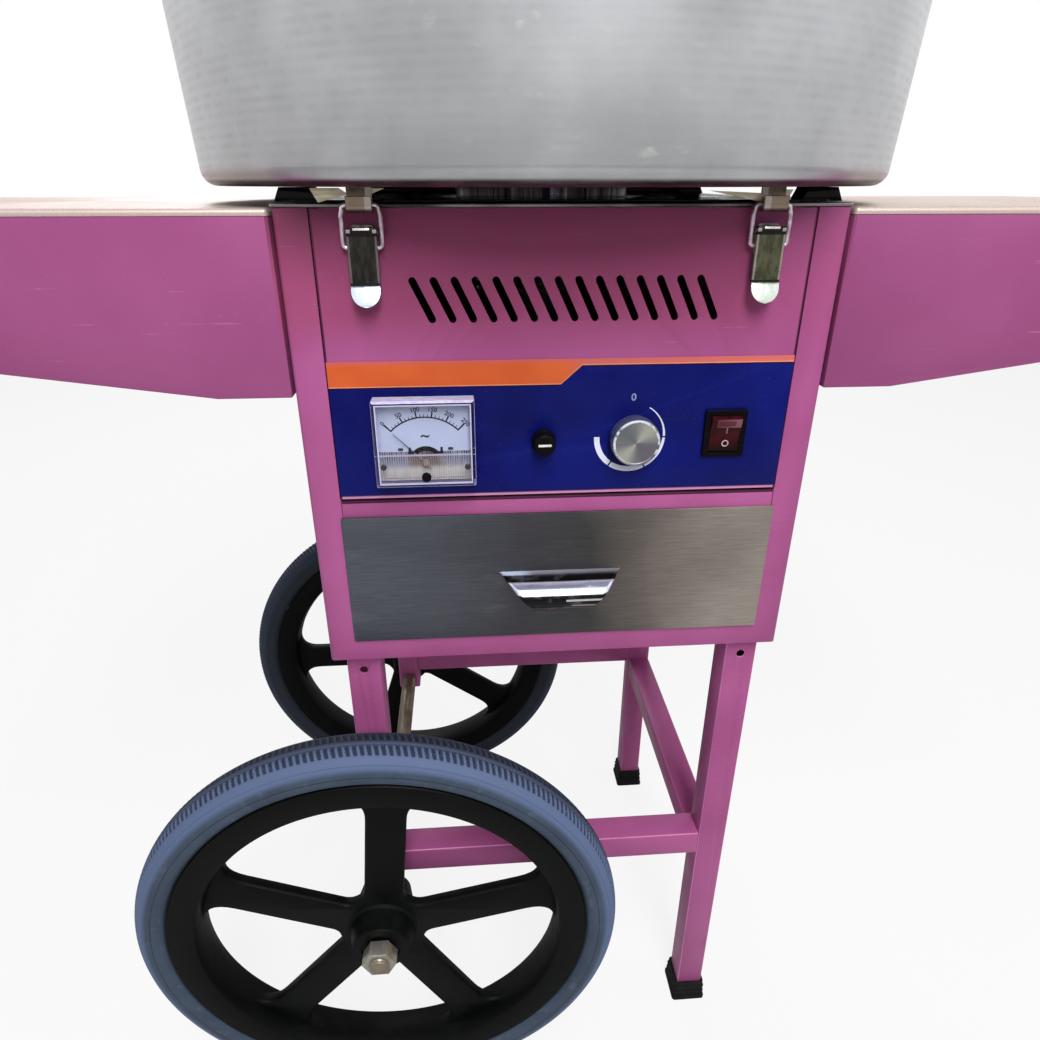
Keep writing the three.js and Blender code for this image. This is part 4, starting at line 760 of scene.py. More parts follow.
# Axle and its nuts.
# One steel bar through both left legs, dull zinc gone brown in places. Its threaded ends take hexagon nuts.
AXLE_RADIUS = 8 * MM
THREAD_PITCH = 1.75 * MM
THREAD_DEPTH = 0.7 * MM
NUT_FLATS = 24 * MM
NUT_BORE = 8.1 * MM


def dull_steel(name, clean, rust, metal_level=0.75):
    """Zinc-plated bar: dull grey with brown blooms, rougher where it has rusted, drawn along its length."""
    finish = Finish(name)
    bloom = finish.noise(0.018, 5, (1, 2.5, 1), 0.65).fade(0.42, 0.62)
    finish.wear("Base Color", finish.mix(bloom, clean, rust))
    finish.wear("Metallic", bloom.fade(0, 1, metal_level, metal_level - 0.45))
    finish.wear("Roughness", bloom.fade(0, 1, 0.36, 0.66))
    finish.relief(finish.noise(0.0018, 3, (1, 3, 1)), 0.06 * MM)
    return finish.material


axle_zinc = dull_steel("axle_zinc", srgb(138, 128, 112), srgb(104, 90, 74))
low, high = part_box("axle")
middle = (low + high) / 2
half = (high.y - low.y) / 2
along = Matrix.Translation(middle) @ Matrix.Rotation(math.radians(-90), 4, "X")
profile = [(0, -half), (AXLE_RADIUS - 1.2 * MM, -half)]
threaded = 17 * MM
ridges = int(threaded / THREAD_PITCH)
for sign in (-1, 1):
    side = []
    for i in range(ridges):
        at = half - 1 * MM - i * THREAD_PITCH
        side += [(AXLE_RADIUS, at), (AXLE_RADIUS - THREAD_DEPTH, at - THREAD_PITCH / 2)]
    side.append((AXLE_RADIUS, half - 1 * MM - ridges * THREAD_PITCH))
    profile += [(r, -h) for r, h in side] if sign < 0 else list(reversed(side))
profile += [(AXLE_RADIUS - 1.2 * MM, half), (0, half)]
Blank().turned(profile, 48, along).piece(
    "axle_bar", axle_zinc, stands_for="axle", slot="axle_steel", crisp=30,
)

nut_zinc = dull_steel("nut_zinc", srgb(158, 155, 148), srgb(120, 104, 86))
hexagon = ring_of(NUT_FLATS / math.sqrt(3), 6)
for end in ("front", "rear"):
    low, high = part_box("axle_nut_" + end)
    middle = (low + high) / 2
    place = Matrix.Translation((middle.x, high.y, middle.z)) @ Matrix.Rotation(math.radians(90), 4, "X")
    nut = Blank().plate(hexagon, high.y - low.y, 0.9 * MM, [ring_of(NUT_BORE, 36)[::-1]], place)
    nut.piece("hexagon_nut_" + end, nut_zinc, stands_for="axle_nut_" + end, slot="axle_steel", crisp=30)


# Cabinet.
# Folded 1.2 mm sheet: sides, back, stiles and bottom rail in one wrap, a floor pan, a rail between panel and
# drawer, and a front panel with fifteen punched slots. All of it is in the pink enamel.
paint(pink, "cabinet_wrap", "cabinet_floor", "mid_rail", "front_panel")
ease_edges(0.45 * MM, "cabinet_wrap", "mid_rail", "front_panel")


# Wings.
# A folded apron in the pink enamel hangs on each side of the cabinet, with a pressed steel tray top.
TRAY_BEND = 2.6 * MM
TRAY_SHEET = 1.2 * MM


def brushed(
    name, stops, along=(12, 0.35, 0.35), roughness=0.3, span=(-0.15, 0.15), metal=0.85, smears=0.22,
):
    """Brushed stainless sheet: fine straight grain, smears and hairlines, and a slow change of tone across it
    from the ramp, which is painted reflection.
    """
    finish = Finish(name, metallic=metal, anisotropic=0.4)
    streak = finish.noise(0.0011, 3, along)
    # Painted reflection: the ramp's tones across the sheet.
    reflection_drift = finish.x.fade(span[0], span[1]) + (finish.noise(0.06, 2) - 0.5) * 0.25
    tone = finish.ramp(reflection_drift, stops)
    smear = finish.noise(0.025, 4, (2.2, 1, 0.6), 0.6).fade(0.56, 0.74)
    lined = finish.mix(streak.fade(0.3, 0.7, 0.0, 0.55), tone, finish.mix(0.5, tone, srgb(30, 30, 34)))
    return finish.dress(
        finish.mix(smear * smears, lined, srgb(176, 172, 166)), streak * 0.16 + smear * 0.1 + roughness,
        streak, 0.012 * MM,
    )


# The wing aprons wear the pink painted a little darker, as painted shade.
paint(enamel("wing_enamel_shaded", WING_SHADED_DEEP, WING_SHADED_PINK, 0.35, 0.14), "wing_apron_left", "wing_apron_right")
ease_edges(0.6 * MM, "wing_apron_left", "wing_apron_right")
# The trays' beige tones are painted reflection.
WING_STEEL_REFLECTIONS = [(0.0, srgb(208, 186, 180)), (0.5, srgb(196, 176, 168)), (1.0, srgb(208, 187, 178))]
wing_steel = brushed("wing_steel", WING_STEEL_REFLECTIONS, (0.35, 12, 0.35), 0.34, (-0.5, 0.5), 0.4)
for side in ("left", "right"):
    low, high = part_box("wing_tray_" + side)
    middle = (low + high) / 2
    half_x, half_y = (high.x - low.x) / 2, (high.y - low.y) / 2
    rolled = [(0, low.z - high.z)]
    rolled += [
        (TRAY_BEND * (1 - math.cos(a)), TRAY_BEND * (math.sin(a) - 1))
        for a in np.linspace(0, math.pi / 2, 7)
    ]
    under = [(inward + TRAY_SHEET, drop - TRAY_SHEET) for inward, drop in rolled[::-1]]
    under = [(max(inward, TRAY_SHEET), max(drop, low.z - high.z)) for inward, drop in under]
    rings = []
    for inward, drop in under + rolled:
        corner = max(TRAY_BEND - inward, 0.4 * MM)
        loop = rounded(half_x - inward, half_y - inward, corner)
        rings.append([(middle.x + u, middle.y + v, high.z + drop) for u, v in loop])
    Blank().skin(rings).piece(
        "steel_tray_" + side, wing_steel, stands_for="wing_tray_" + side, slot="brushed_steel",
    )


# Control label.
# A screen-printed plastic sheet stuck to the panel: blue ground, an orange tab with a chamfered end that
# runs on as a thin stripe, and a white arc round the temperature knob that swells clockwise.
TAB_BOTTOM = 651 * MM
TAB_CHAMFER_TOP = 663 * MM
TAB_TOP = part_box("control_label")[1].z
TAB_END = -2.4 * MM
TAB_CHAMFER_RUN = 13.4 * MM
KEYLINE = 0.8 * MM
KNOB = (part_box("heat_knob")[0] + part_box("heat_knob")[1]) / 2
ARC_OFFSET = 2.0 * MM
ARC_OUTER = 23.6 * MM
ARC_THIN = 0.7 * MM
ARC_THICK = 3.6 * MM
ARC_START = 31
ARC_SWELLS_TO = 190
ARC_END = 272
ARC_BREAKS = (90, 152, 215)


def label_print():
    finish = Finish("label_print", specular_ior_level=0.1)
    cloud = finish.noise(0.05, 3).fade(0.3, 0.7)
    blue = finish.mix(cloud, srgb(8, 13, 88), srgb(12, 21, 104))
    orange = finish.mix(cloud, srgb(204, 90, 46), srgb(214, 100, 54))
    orange = finish.mix(
        finish.x.fade(TAB_END, TAB_END + TAB_CHAMFER_RUN + 6 * MM, 0, 0.85), orange, srgb(204, 108, 98),
    )
    orange = finish.mix(finish.z.fade(TAB_TOP - 4 * MM, TAB_TOP, 0, 0.55), orange, srgb(196, 96, 106))
    climb = (finish.z - TAB_BOTTOM) / (TAB_CHAMFER_TOP - TAB_BOTTOM)
    edge = climb * TAB_CHAMFER_RUN + TAB_END

    def tab(grow):
        wedge = (finish.z > TAB_BOTTOM - grow) * (finish.x < edge + grow)
        return wedge.greater(finish.z > TAB_CHAMFER_TOP - grow)

    du = finish.x - (KNOB.x - ARC_OFFSET)
    dv = finish.z - KNOB.z
    reach = du.hypot(dv)
    clockwise = du.angle(dv) * (180 / math.pi)
    clockwise = clockwise + (clockwise < 0) * 360
    width = clockwise.fade(ARC_START, ARC_SWELLS_TO, ARC_THIN, ARC_THICK)
    arc = (reach < ARC_OUTER) * (reach > ARC_OUTER - width) * clockwise.between(ARC_START, ARC_END)
    for place in ARC_BREAKS:
        arc = arc * (abs(clockwise - place) > 1.4)
    printed = finish.mix(tab(KEYLINE), blue, srgb(30, 4, 30))
    printed = finish.mix(tab(0.0), printed, srgb(226, 146, 118))
    printed = finish.mix(tab(-KEYLINE * 0.75), printed, orange)
    printed = finish.mix(arc, printed, srgb(218, 220, 240))
    speck = finish.noise(0.0016, 1).fade(0.74, 0.8, 0, 0.14)
    return finish.dress(
        finish.mix(speck, printed, srgb(120, 120, 150)), finish.noise(0.02, 3).fade(0.3, 0.7, 0.3, 0.44),
        finish.noise(0.0016, 2) + arc * 0.6, 0.03 * MM,
    )


paint(label_print(), "control_label")
ease_edges(0.12 * MM, "control_label")


def figures(marks, place, thick, blank):
    """Plain figures, each with its text, size, place and turn, added to one piece in the place's frame."""
    for text, size, u, v, turn in marks:
        curve = bpy.data.curves.new("figure", "FONT")
        curve.body = text
        curve.size = size
        curve.align_x = "CENTER"
        curve.align_y = "CENTER"
        curve.extrude = thick / 2
        curve.offset = size * 0.022
        written = bpy.data.objects.new("figure", curve)
        bpy.context.scene.collection.objects.link(written)
        bpy.context.view_layer.update()
        mesh = bpy.data.meshes.new_from_object(written.evaluated_get(bpy.context.evaluated_depsgraph_get()))
        local = place @ Matrix.Translation((u, v, 0)) @ Matrix.Rotation(math.radians(turn), 4, "Z")
        start = len(blank.points)
        blank.points += [tuple(local @ vertex.co) for vertex in mesh.vertices]
        blank.faces += [tuple(start + i for i in polygon.vertices) for polygon in mesh.polygons]
        bpy.data.objects.remove(written)
        bpy.data.meshes.remove(mesh)
    return blank


def ink(name, colour, rub):
    """Screen ink: a flat colour, rubbed thinner in places."""
    finish = Finish(name)
    worn = finish.noise(0.003, 3).fade(0.45, 0.75)
    finish.wear("Base Color", finish.mix(worn * 0.5, colour, rub))
    finish.wear("Roughness", worn * 0.15 + 0.42)
    return finish.material


def facing_front(x, y, z):
    """A frame at a place on the front: U to the right, V up and the thickness towards the viewer."""
    return Matrix.Translation((x, y, z)) @ Matrix.Rotation(math.radians(90), 4, "X")


white_ink = ink("white_ink", srgb(140, 146, 200), srgb(70, 76, 136))
LABEL_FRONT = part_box("control_label")[0].y
zero_spot = facing_front(KNOB.x - ARC_OFFSET, LABEL_FRONT, KNOB.z)
zero = figures([("0", 6.6 * MM, ARC_OFFSET / 2, 26.9 * MM, 0)], zero_spot, 0.12 * MM, Blank())
zero.piece("knob_zero_figure", white_ink, crisp=20)


# Panel meter.
# Bought-in voltmeter: a printed dial plate under a clear square cover, whose bevels carry painted highlights
# and dark painted reflections.
# The cover's lower third is ribbed, and holds two small screws and the black zero screw.
low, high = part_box("meter_lens")
METER = (low + high) / 2
METER_HALF = (high - low) / 2
METER_PIVOT_DROP = 14 * MM
DIAL_ARC = 29.6 * MM
DIAL_SWEEP = 45
DIAL_STEP = 18
DIAL_LINE = 0.9 * MM
ARCH_OUTER = 10.9 * MM
ARCH_INNER = 7.7 * MM
ARCH_BASE = 5.7 * MM
ARCH_HALF = 11 * MM
ARCH_STROKE = 1.6 * MM
RIBS_TOP = 6.6 * MM
RIB_PITCH = 1.5 * MM
COVER_BEVEL = 1.5 * MM
COVER_WALL = 1.6 * MM


def zigzag(value, pitch):
    """How far a value is from the nearest whole pitch, as a share of the pitch."""
    return (value / pitch).pingpong(0.5)


def dial_print():
    """White plate with a black scale. Below the seam it is beige, with dark streaks of painted shade under the
    cover's ribs.
    """
    finish = Finish("meter_dial", specular_ior_level=0.15)
    du = finish.x - METER.x
    dv = finish.z - (METER.z - METER_PIVOT_DROP)
    below = METER.z - RIBS_TOP - finish.z
    reach = du.hypot(dv)
    lean = du.angle(dv) * (180 / math.pi)
    swept = abs(lean) < DIAL_SWEEP + 0.5
    arc = reach.between(DIAL_ARC, DIAL_ARC + DIAL_LINE) * swept
    from_end = lean + DIAL_SWEEP
    long_mark = (zigzag(from_end, DIAL_STEP) < 0.045) * reach.between(DIAL_ARC, DIAL_ARC + 4.2 * MM)
    short_mark = (zigzag(from_end, DIAL_STEP / 4) < 0.09) * reach.between(DIAL_ARC, DIAL_ARC + 2.3 * MM)
    end_mark = (abs(abs(lean) - DIAL_SWEEP) < 0.9) * reach.between(DIAL_ARC, DIAL_ARC + 6.4 * MM)
    arch = reach.between(ARCH_INNER, ARCH_OUTER) * (dv > ARCH_BASE)
    base = dv.between(ARCH_BASE, ARCH_BASE + ARCH_STROKE) * abs(du).between(ARCH_OUTER * 0.7, ARCH_HALF)
    post = dv.between(ARCH_BASE, ARCH_BASE + 4.4 * MM) * abs(du).between(ARCH_HALF - ARCH_STROKE, ARCH_HALF)
    inked = arc.greater(long_mark.greater(short_mark) * swept).greater(end_mark)
    inked = inked.greater(arch.greater(base).greater(post))
    ground = finish.mix(finish.noise(0.02, 3), srgb(168, 180, 214), srgb(190, 196, 224))
    ground = finish.mix((reach < ARCH_INNER) * (dv > ARCH_BASE), ground, srgb(62, 54, 54))
    under = finish.mix(abs(du).fade(7 * MM, 15 * MM), srgb(120, 104, 92), srgb(140, 142, 160))
    under = finish.mix(below.fade(8 * MM, 13 * MM), under, srgb(188, 184, 182))
    # Painted shade: dark streaks in the rib pitch, strongest just below the seam.
    rib_shade = below.fade(1 * MM, 11 * MM, 0.95, 0.2)
    rib_shade = rib_shade * finish.noise(0.0025, 2, (1, 1, 4)).fade(0.38, 0.56, 0.15, 1)
    under = finish.mix(zigzag(du, RIB_PITCH).fade(0.15, 0.35) * rib_shade, under, srgb(30, 26, 32))
    printed = finish.mix(below > 0, ground, under)
    return finish.dress(
        finish.mix(inked, printed, srgb(3, 4, 12)), finish.noise(0.01, 2).fade(0.3, 0.7, 0.35, 0.5),
        finish.noise(0.002, 2), 0.02 * MM,
    )


paint(dial_print(), "meter_case")
black_ink = ink("black_ink", srgb(10, 12, 30), srgb(44, 46, 66))
numbers = []
for i, text in enumerate(["0", "50", "100", "150", "200", "250"]):
    turn = -DIAL_SWEEP + DIAL_STEP * i
    reach = DIAL_ARC + (5.6 if 0 < i < 5 else 7.4) * MM
    lean = math.radians(turn)
    u, v = reach * math.sin(lean), reach * math.cos(lean) - METER_PIVOT_DROP
    numbers.append((text, 4.1 * MM, u, v, -turn))
numbers.append(("~", 9.5 * MM, 0.1 * MM, 3.9 * MM, 0))
DIAL_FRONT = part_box("meter_case")[0].y
dial_frame = facing_front(METER.x, DIAL_FRONT, METER.z)
dial_text = figures(numbers, dial_frame, 0.1 * MM, Blank())
for u in (-16 * MM, 16 * MM):
    dial_text.plate(
        rounded(1.7 * MM, 0.85 * MM, 0.8 * MM), 0.4 * MM,
        place=dial_frame @ Matrix.Translation((u, -5 * MM, 0)),
    )
dial_text.piece("meter_dial_figures", black_ink, crisp=30)


COVER_SCREWS = {
    "meter_screw_left": (-26.6 * MM, -14.2 * MM, 1.9),
    "meter_screw_right": (26.8 * MM, -15.0 * MM, 1.9),
    "meter_zero_screw": (0.1 * MM, -21.6 * MM, 3.1),
}


def clear_cover():
    """Clear plastic: a bright painted highlight on top, thin painted highlights and dark painted reflections
    along its bevels, and faint ribs and seam.
    """
    finish = Finish("clear_cover", specular_ior_level=0.1)
    du = finish.x - METER.x
    dv = finish.z - METER.z
    edge = (METER_HALF.x - abs(du)).smaller(METER_HALF.z - abs(dv))
    front = finish.y < METER.y
    # Painted highlight along the top bevel; dark painted reflection and bright painted lines along the bevels.
    top_highlight = (dv > METER_HALF.z - COVER_BEVEL * 0.9) * (METER_HALF.x - abs(du) > METER_HALF.z - dv)
    dark = edge.between(COVER_BEVEL * 1.0, COVER_BEVEL * 1.45) * front
    inner = edge.between(COVER_BEVEL * 1.45, COVER_BEVEL * 2.0) * front
    rim = edge < 0.25 * MM
    fleck = finish.noise(0.004, 3).fade(0.35, 0.62)
    seam = abs(finish.z - (METER.z - RIBS_TOP)) < 0.3 * MM
    ribs = (dv < -RIBS_TOP) * zigzag(du, RIB_PITCH).fade(0.2, 0.45) * (edge > 4 * MM)
    tone = finish.mix(dark, srgb(206, 202, 240), srgb(8, 10, 44))
    tone = finish.mix(top_highlight * fleck * 0.6, tone, srgb(238, 234, 250))
    alpha = (top_highlight * 0.85).greater(dark * 0.92).greater(inner * 0.8).greater(rim * 0.55)
    alpha = alpha.greater(ribs * 0.09).greater(seam * 0.5).greater(0.01)
    for u, v, radius in COVER_SCREWS.values():
        alpha = alpha * ((du - u).hypot(dv - v) > radius * MM)
    finish.wear("Base Color", tone)
    finish.wear("Alpha", alpha)
    finish.wear("Roughness", finish.noise(0.02, 3).fade(0.3, 0.7, 0.06, 0.16))
    finish.relief(ribs + finish.noise(0.006, 2) * 0.1, 0.05 * MM)
    return finish.material


cover_frame = facing_front(METER.x, high.y, METER.z)
proud = high.y - low.y


def cover_ring(shrink, out, corner):
    loop = rounded(METER_HALF.x - shrink, METER_HALF.z - shrink, corner, 4)
    return [cover_frame @ Vector((u, v, out)) for u, v in loop]


rings = [
    cover_ring(COVER_WALL, 0, 0.5 * MM), cover_ring(0, 0, 1.0 * MM),
    cover_ring(0, proud - COVER_BEVEL, 1.0 * MM), cover_ring(COVER_BEVEL, proud, 0.8 * MM),
    cover_ring(COVER_BEVEL * 1.6, proud, 0.8 * MM),
]
room = cover_ring(COVER_WALL, proud - COVER_WALL, 0.5 * MM)
cover = Blank().skin(rings, False, True)
cover.skin([rings[0], room], False, True)
cover.piece("meter_cover", clear_cover(), stands_for="meter_lens", slot="clear_cover", crisp=20)

screw_steel = dull_steel("screw_steel", srgb(50, 46, 50), srgb(28, 26, 30), 0.3)
for name, (u, v, radius) in COVER_SCREWS.items():
    spot = cover_frame @ Matrix.Translation((u, v, proud - COVER_WALL))
    head = [(0, 0), (radius * 0.8, 0), (radius, 0.3), (radius, 1.6), (radius * 0.82, 1.85), (0, 1.8)]
    screw = Blank().spun(head, 28, spot)
    slot_bar = rounded(radius * 0.72 * MM, 0.22 * MM, 0.1 * MM, 2)
    screw.plate(slot_bar, 0.1 * MM, place=spot @ Matrix.Translation((0, 0, 1.8 * MM)))
    screw.piece(name, rim_black if name == "meter_zero_screw" else screw_steel, crisp=30)


def needle_paint():
    """Matt black blade. Its hub and tail are brass, which is hard to tell from the beige behind the ribs."""
    finish = Finish("needle_black", specular_ior_level=0.1)
    grain = finish.noise(0.002, 2).fade(0.35, 0.65)
    black = finish.mix(grain, srgb(14, 14, 24), srgb(30, 30, 42))
    brass = finish.mix(grain, srgb(122, 104, 92), srgb(146, 128, 114))
    return finish.dress(
        finish.mix(finish.z < METER.z - RIBS_TOP, black, brass), grain * 0.1 + 0.5, grain, 0.02 * MM,
    )


swung = Matrix.Rotation(math.radians(DIAL_SWEEP), 4, "Z")
pivot = facing_front(METER.x, DIAL_FRONT, METER.z - METER_PIVOT_DROP) @ swung
blade_level = Matrix.Translation((0, 0, 1.8 * MM))
needle = Blank().spun([(0, 0.4), (2.4, 0.4), (2.4, 2.6), (1.6, 3.2), (0, 3.2)], 32, pivot)
half_blade = [(0.7, -4.8), (0.4, 0), (0.12, 28.6)]
blade = [(u * MM, v * MM) for u, v in half_blade] + [(-u * MM, v * MM) for u, v in reversed(half_blade)]
needle.plate(blade, 0.4 * MM, place=pivot @ blade_level)
needle.piece("meter_pointer", needle_paint(), "needle", "meter_needle", "needle_black", crisp=30)


# Fuse holder.
# A black moulded bezel and body with a bayonet cap. The cap has a coin slot, picked out with white paint.
low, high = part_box("fuse_cap")
fuse_x, fuse_z = (low.x + high.x) / 2, (low.z + high.z) / 2
FUSE_BEZEL = 2.2 * MM
CAP_RIBS = 24
panel_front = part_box("fuse_holder")[0].y + FUSE_BEZEL
fuse_frame = facing_front(fuse_x, panel_front, fuse_z)
holder = Blank().spun([
    (3.5, -32), (3.5, 1.9), (3.8, 2.2), (7.2, 2.2), (7.6, 2.0), (7.9, 1.4), (8.0, 0.2), (7.8, 0.02),
    (6, 0), (5.9, -10), (6, -10.3), (6, -33.6), (5.6, -34), (0, -34), (0, -32),
], 56, fuse_frame)
holder.piece(
    "fuse_bezel", moulded_black("fuse_black", srgb(7, 7, 9), srgb(16, 16, 19), 0.42, 0.06),
    stands_for="fuse_holder", slot="black_plastic",
)

cap_black = moulded_black("cap_black", srgb(8, 8, 9), srgb(20, 18, 16), 0.42, 0.06)
CAP_SHAPE = [(7.3, 2.5, 0), (7.5, 2.8, 1), (7.3, 8.6, 1), (7.0, 9.4, 0), (6.2, 10.2, 0), (5.6, 10.46, 0)]
cap = Blank().ribbed(CAP_SHAPE, CAP_RIBS * 6, lambda a: 0.11 * (1 - math.cos(CAP_RIBS * a)), fuse_frame)
cap.spun([(0, -27.9), (2.9, -27.9), (3.15, -27.5), (3.2, 2.6), (0, 2.6)], 56, fuse_frame)
cap.piece("fuse_cap_ribbed", cap_black, "fuse_cap_body", "fuse_cap", "black_plastic")
slot_place = fuse_frame @ Matrix.Translation((0, 0, 10.4 * MM))
slot_paint = Blank().plate(rounded(4.2 * MM, 0.8 * MM, 0.3 * MM, 3), 0.09 * MM, place=slot_place)
slot_paint.piece(
    "fuse_cap_slot", ink("slot_white", srgb(226, 226, 224), srgb(90, 90, 92)), "fuse_cap_body", crisp=20,
)


# Temperature knob.
# Turned aluminium with a knurled side, a chamfer with a painted highlight and a spun face, pushed onto its
# spindle.
# Behind the panel the spindle turns the heat controller: a black body on a green board with metal fins.
low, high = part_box("heat_knob")
KNOB_RADIUS = (high.x - low.x) / 2
KNOB_GAP = 0.3 * MM
KNOB_RIBS = 48
REFLECTION_FAN_TURN = 0.85


def spun_knob():
    """A spun face painted in light and dark lobes as reflection, a rim with a broken painted highlight
    brightest at the top, and a knurled side painted with the label's blue as reflection, lighter at the top.
    """
    finish = Finish("spun_knob", metallic=0.6)
    du = finish.x - KNOB.x
    dv = finish.z - KNOB.z
    reach = du.hypot(dv)
    turn = dv.angle(du)
    # Painted reflection: light and dark lobes across the face by angle, darker on one half.
    reflection_fan = ((turn - REFLECTION_FAN_TURN) * 2).cosine() * 0.5 + 0.5
    grooves = (reach * 9000).sine() * 0.5 + 0.5
    dark_half = [(0.0, srgb(104, 110, 114)), (0.45, srgb(122, 124, 124))]
    light_half = [(0.75, srgb(144, 146, 144)), (1.0, srgb(172, 172, 162))]
    tone = finish.ramp(reflection_fan, dark_half + light_half)
    tone = finish.mix((turn < 0) * (1 - reflection_fan), tone, srgb(104, 100, 112))
    side = finish.y > low.y + 1.7 * MM
    # Painted reflection of the label's blue on the knurled side, lighter at the top.
    knurl_reflection = finish.mix((dv - du * 0.5).fade(-0.012, 0.016), srgb(62, 60, 80), srgb(126, 130, 176))
    knurl_reflection = finish.mix(finish.noise(0.0016, 2).fade(0.4, 0.6, 0, 0.45), knurl_reflection, srgb(32, 34, 70))
    tone = finish.mix(side, tone, knurl_reflection)
    # Painted highlight on the chamfer ring, broken by noise and brightest at the top.
    highlight_breaks = finish.noise(0.003, 3).fade(0.4, 0.55)
    rim = reach.between(KNOB_RADIUS - 2.3 * MM, KNOB_RADIUS - 0.6 * MM) * (finish.y < low.y + 1.6 * MM)
    upper_highlight = (dv + abs(du) * 0.75).fade(-0.002, 0.006, 0.12, 1)
    tone = finish.mix(rim * highlight_breaks * upper_highlight, tone, srgb(232, 236, 250))
    return finish.dress(
        finish.mix(grooves * finish.noise(0.004, 3) * 0.25, tone, srgb(70, 72, 76)), grooves * 0.1 + 0.32,
        grooves, 0.004 * MM,
    )


knob_frame = facing_front(KNOB.x, LABEL_FRONT - KNOB_GAP, KNOB.z)
outer = KNOB_RADIUS / MM
face = (LABEL_FRONT - KNOB_GAP - low.y) / MM
KNOB_SHAPE = [
    (outer - 3, 0.4, 0), (outer - 0.9, 0.4, 0), (outer - 0.4, 0.9, 0.3), (outer, 1.6, 1),
    (outer, face - 2.6, 1), (outer - 0.3, face - 2.0, 0.4), (outer - 0.4, face - 1.5, 0),
    (outer - 0.5, face - 0.8, 0), (outer - 0.9, face - 0.2, 0), (outer - 1.5, face - 0.02, 0),
    (outer - 2.1, face - 0.1, 0), (outer - 2.5, face - 0.4, 0), (outer - 6, face - 0.45, 0),
    (0.4, face - 0.62, 0),
]
spindle = (LABEL_FRONT - high.y) / MM
knob = Blank().ribbed(KNOB_SHAPE, KNOB_RIBS * 6, lambda a: 0.25 * (1 + math.cos(KNOB_RIBS * a)), knob_frame)
knob.spun([(0, spindle), (2.9, spindle), (2.9, 0.6), (0, 0.6)], 56, knob_frame)
knob.piece("temperature_knob", spun_knob(), "knob", "heat_knob", "spun_aluminium", crisp=32)


def board():
    """Green circuit board with a black dimmer body in front. The fins and the block behind are dull metal."""
    finish = Finish("controller_board")
    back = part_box("heat_controller")[1].y
    grain = finish.noise(0.004, 3).fade(0.35, 0.65)
    green = finish.mix(grain, srgb(30, 78, 46), srgb(44, 98, 60))
    black = finish.mix(grain, srgb(18, 18, 20), srgb(34, 34, 36))
    dull = finish.mix(grain, srgb(130, 132, 134), srgb(160, 162, 164))
    tone = finish.mix(finish.y > back - 19.9 * MM, black, green)
    finish.wear("Base Color", finish.mix(finish.y > back - 17.9 * MM, tone, dull))
    finish.wear("Metallic", (finish.y > back - 17.9 * MM) * 0.8)
    finish.wear("Roughness", grain * 0.15 + 0.4)
    finish.relief(finish.noise(0.003, 2), 0.08 * MM)
    return finish.material


paint(board(), "heat_controller")
ease_edges(0.25 * MM, "heat_controller")


# Power switch.
# A bought-in switch: a black bezel snapped into the panel, and a dark red rocker on pins, marked I and O.
low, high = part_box("switch_housing")
switch_x, switch_z = (low.x + high.x) / 2, (low.z + high.z) / 2
switch_half = (high - low) / 2
switch_front = low.y
SWITCH_PLATE = 2.2 * MM
ROCKER_HALF = 10.1 * MM
ROCKER_RADIUS = 12.7 * MM
WELL_ROOM = 0.4 * MM
ROCKER_REST = -8
PIVOT_DEPTH = 2.2 * MM


def side_on(x, y, z):
    """A frame at a place, seen from +X: U to the back, V up and the thickness along +X."""
    return Matrix.Translation((x, y, z)) @ Matrix(((0, 0, 1, 0), (1, 0, 0, 0), (0, 1, 0, 0), (0, 0, 0, 1)))


well = rounded(ROCKER_HALF + WELL_ROOM, ROCKER_RADIUS + WELL_ROOM, 0.5 * MM, 3)
bezel = Blank().plate(
    rounded(switch_half.x, switch_half.z, 1.5 * MM), SWITCH_PLATE, 0.5 * MM, [well[::-1]],
    facing_front(switch_x, switch_front + SWITCH_PLATE, switch_z),
)
depth = high.y - switch_front - SWITCH_PLATE
body = rounded(switch_half.x - 2 * MM, switch_half.z - 1 * MM, 0.8 * MM, 3)
bezel.plate(body, depth - 13 * MM, 0.2 * MM, place=facing_front(switch_x, high.y, switch_z))
bezel.plate(body, 13 * MM, 0, [well[::-1]], facing_front(switch_x, high.y - depth + 13 * MM, switch_z))
bezel.piece(
    "switch_bezel", moulded_black("switch_black", srgb(8, 5, 9), srgb(17, 13, 19), 0.4, 0.06),
    stands_for="switch_housing", slot="black_plastic", crisp=30,
)


def rocker_red():
    """Dark red plastic. Painted shade makes it nearly black at its foot, and the raised field on its upper
    half carries a mauve painted highlight, stronger to the right, round a darker red middle.
    """
    finish = Finish("rocker_red", specular_ior_level=0.1)
    up = finish.z - switch_z
    right = finish.x - switch_x
    cloud = finish.noise(0.006, 3).fade(0.35, 0.7)
    tone = finish.mix(cloud, srgb(44, 6, 12), srgb(60, 10, 18))
    ridge = up.between(4.4 * MM, 10.4 * MM) * (right > -6.4 * MM)
    inner = up.between(5.6 * MM, 9.0 * MM) * right.between(-5.2 * MM, 6 * MM)
    # Painted highlight: the raised field in mauve, stronger to the right.
    tone = finish.mix(ridge * right.fade(-8 * MM, 9 * MM, 0.35, 0.9), tone, srgb(126, 84, 96))
    tone = finish.mix(inner * 0.75, tone, srgb(84, 24, 38))
    # Painted shade: nearly black at the foot.
    tone = finish.mix(up.fade(-13 * MM, -3 * MM, 0.9, 0), tone, srgb(12, 6, 8))
    return finish.dress(tone, cloud * 0.12 + 0.26, ridge - inner * 0.8, 0.2 * MM)


def rocker_point(turn):
    lean = math.radians(turn + ROCKER_REST)
    return (-ROCKER_RADIUS * math.cos(lean), ROCKER_RADIUS * math.sin(lean))


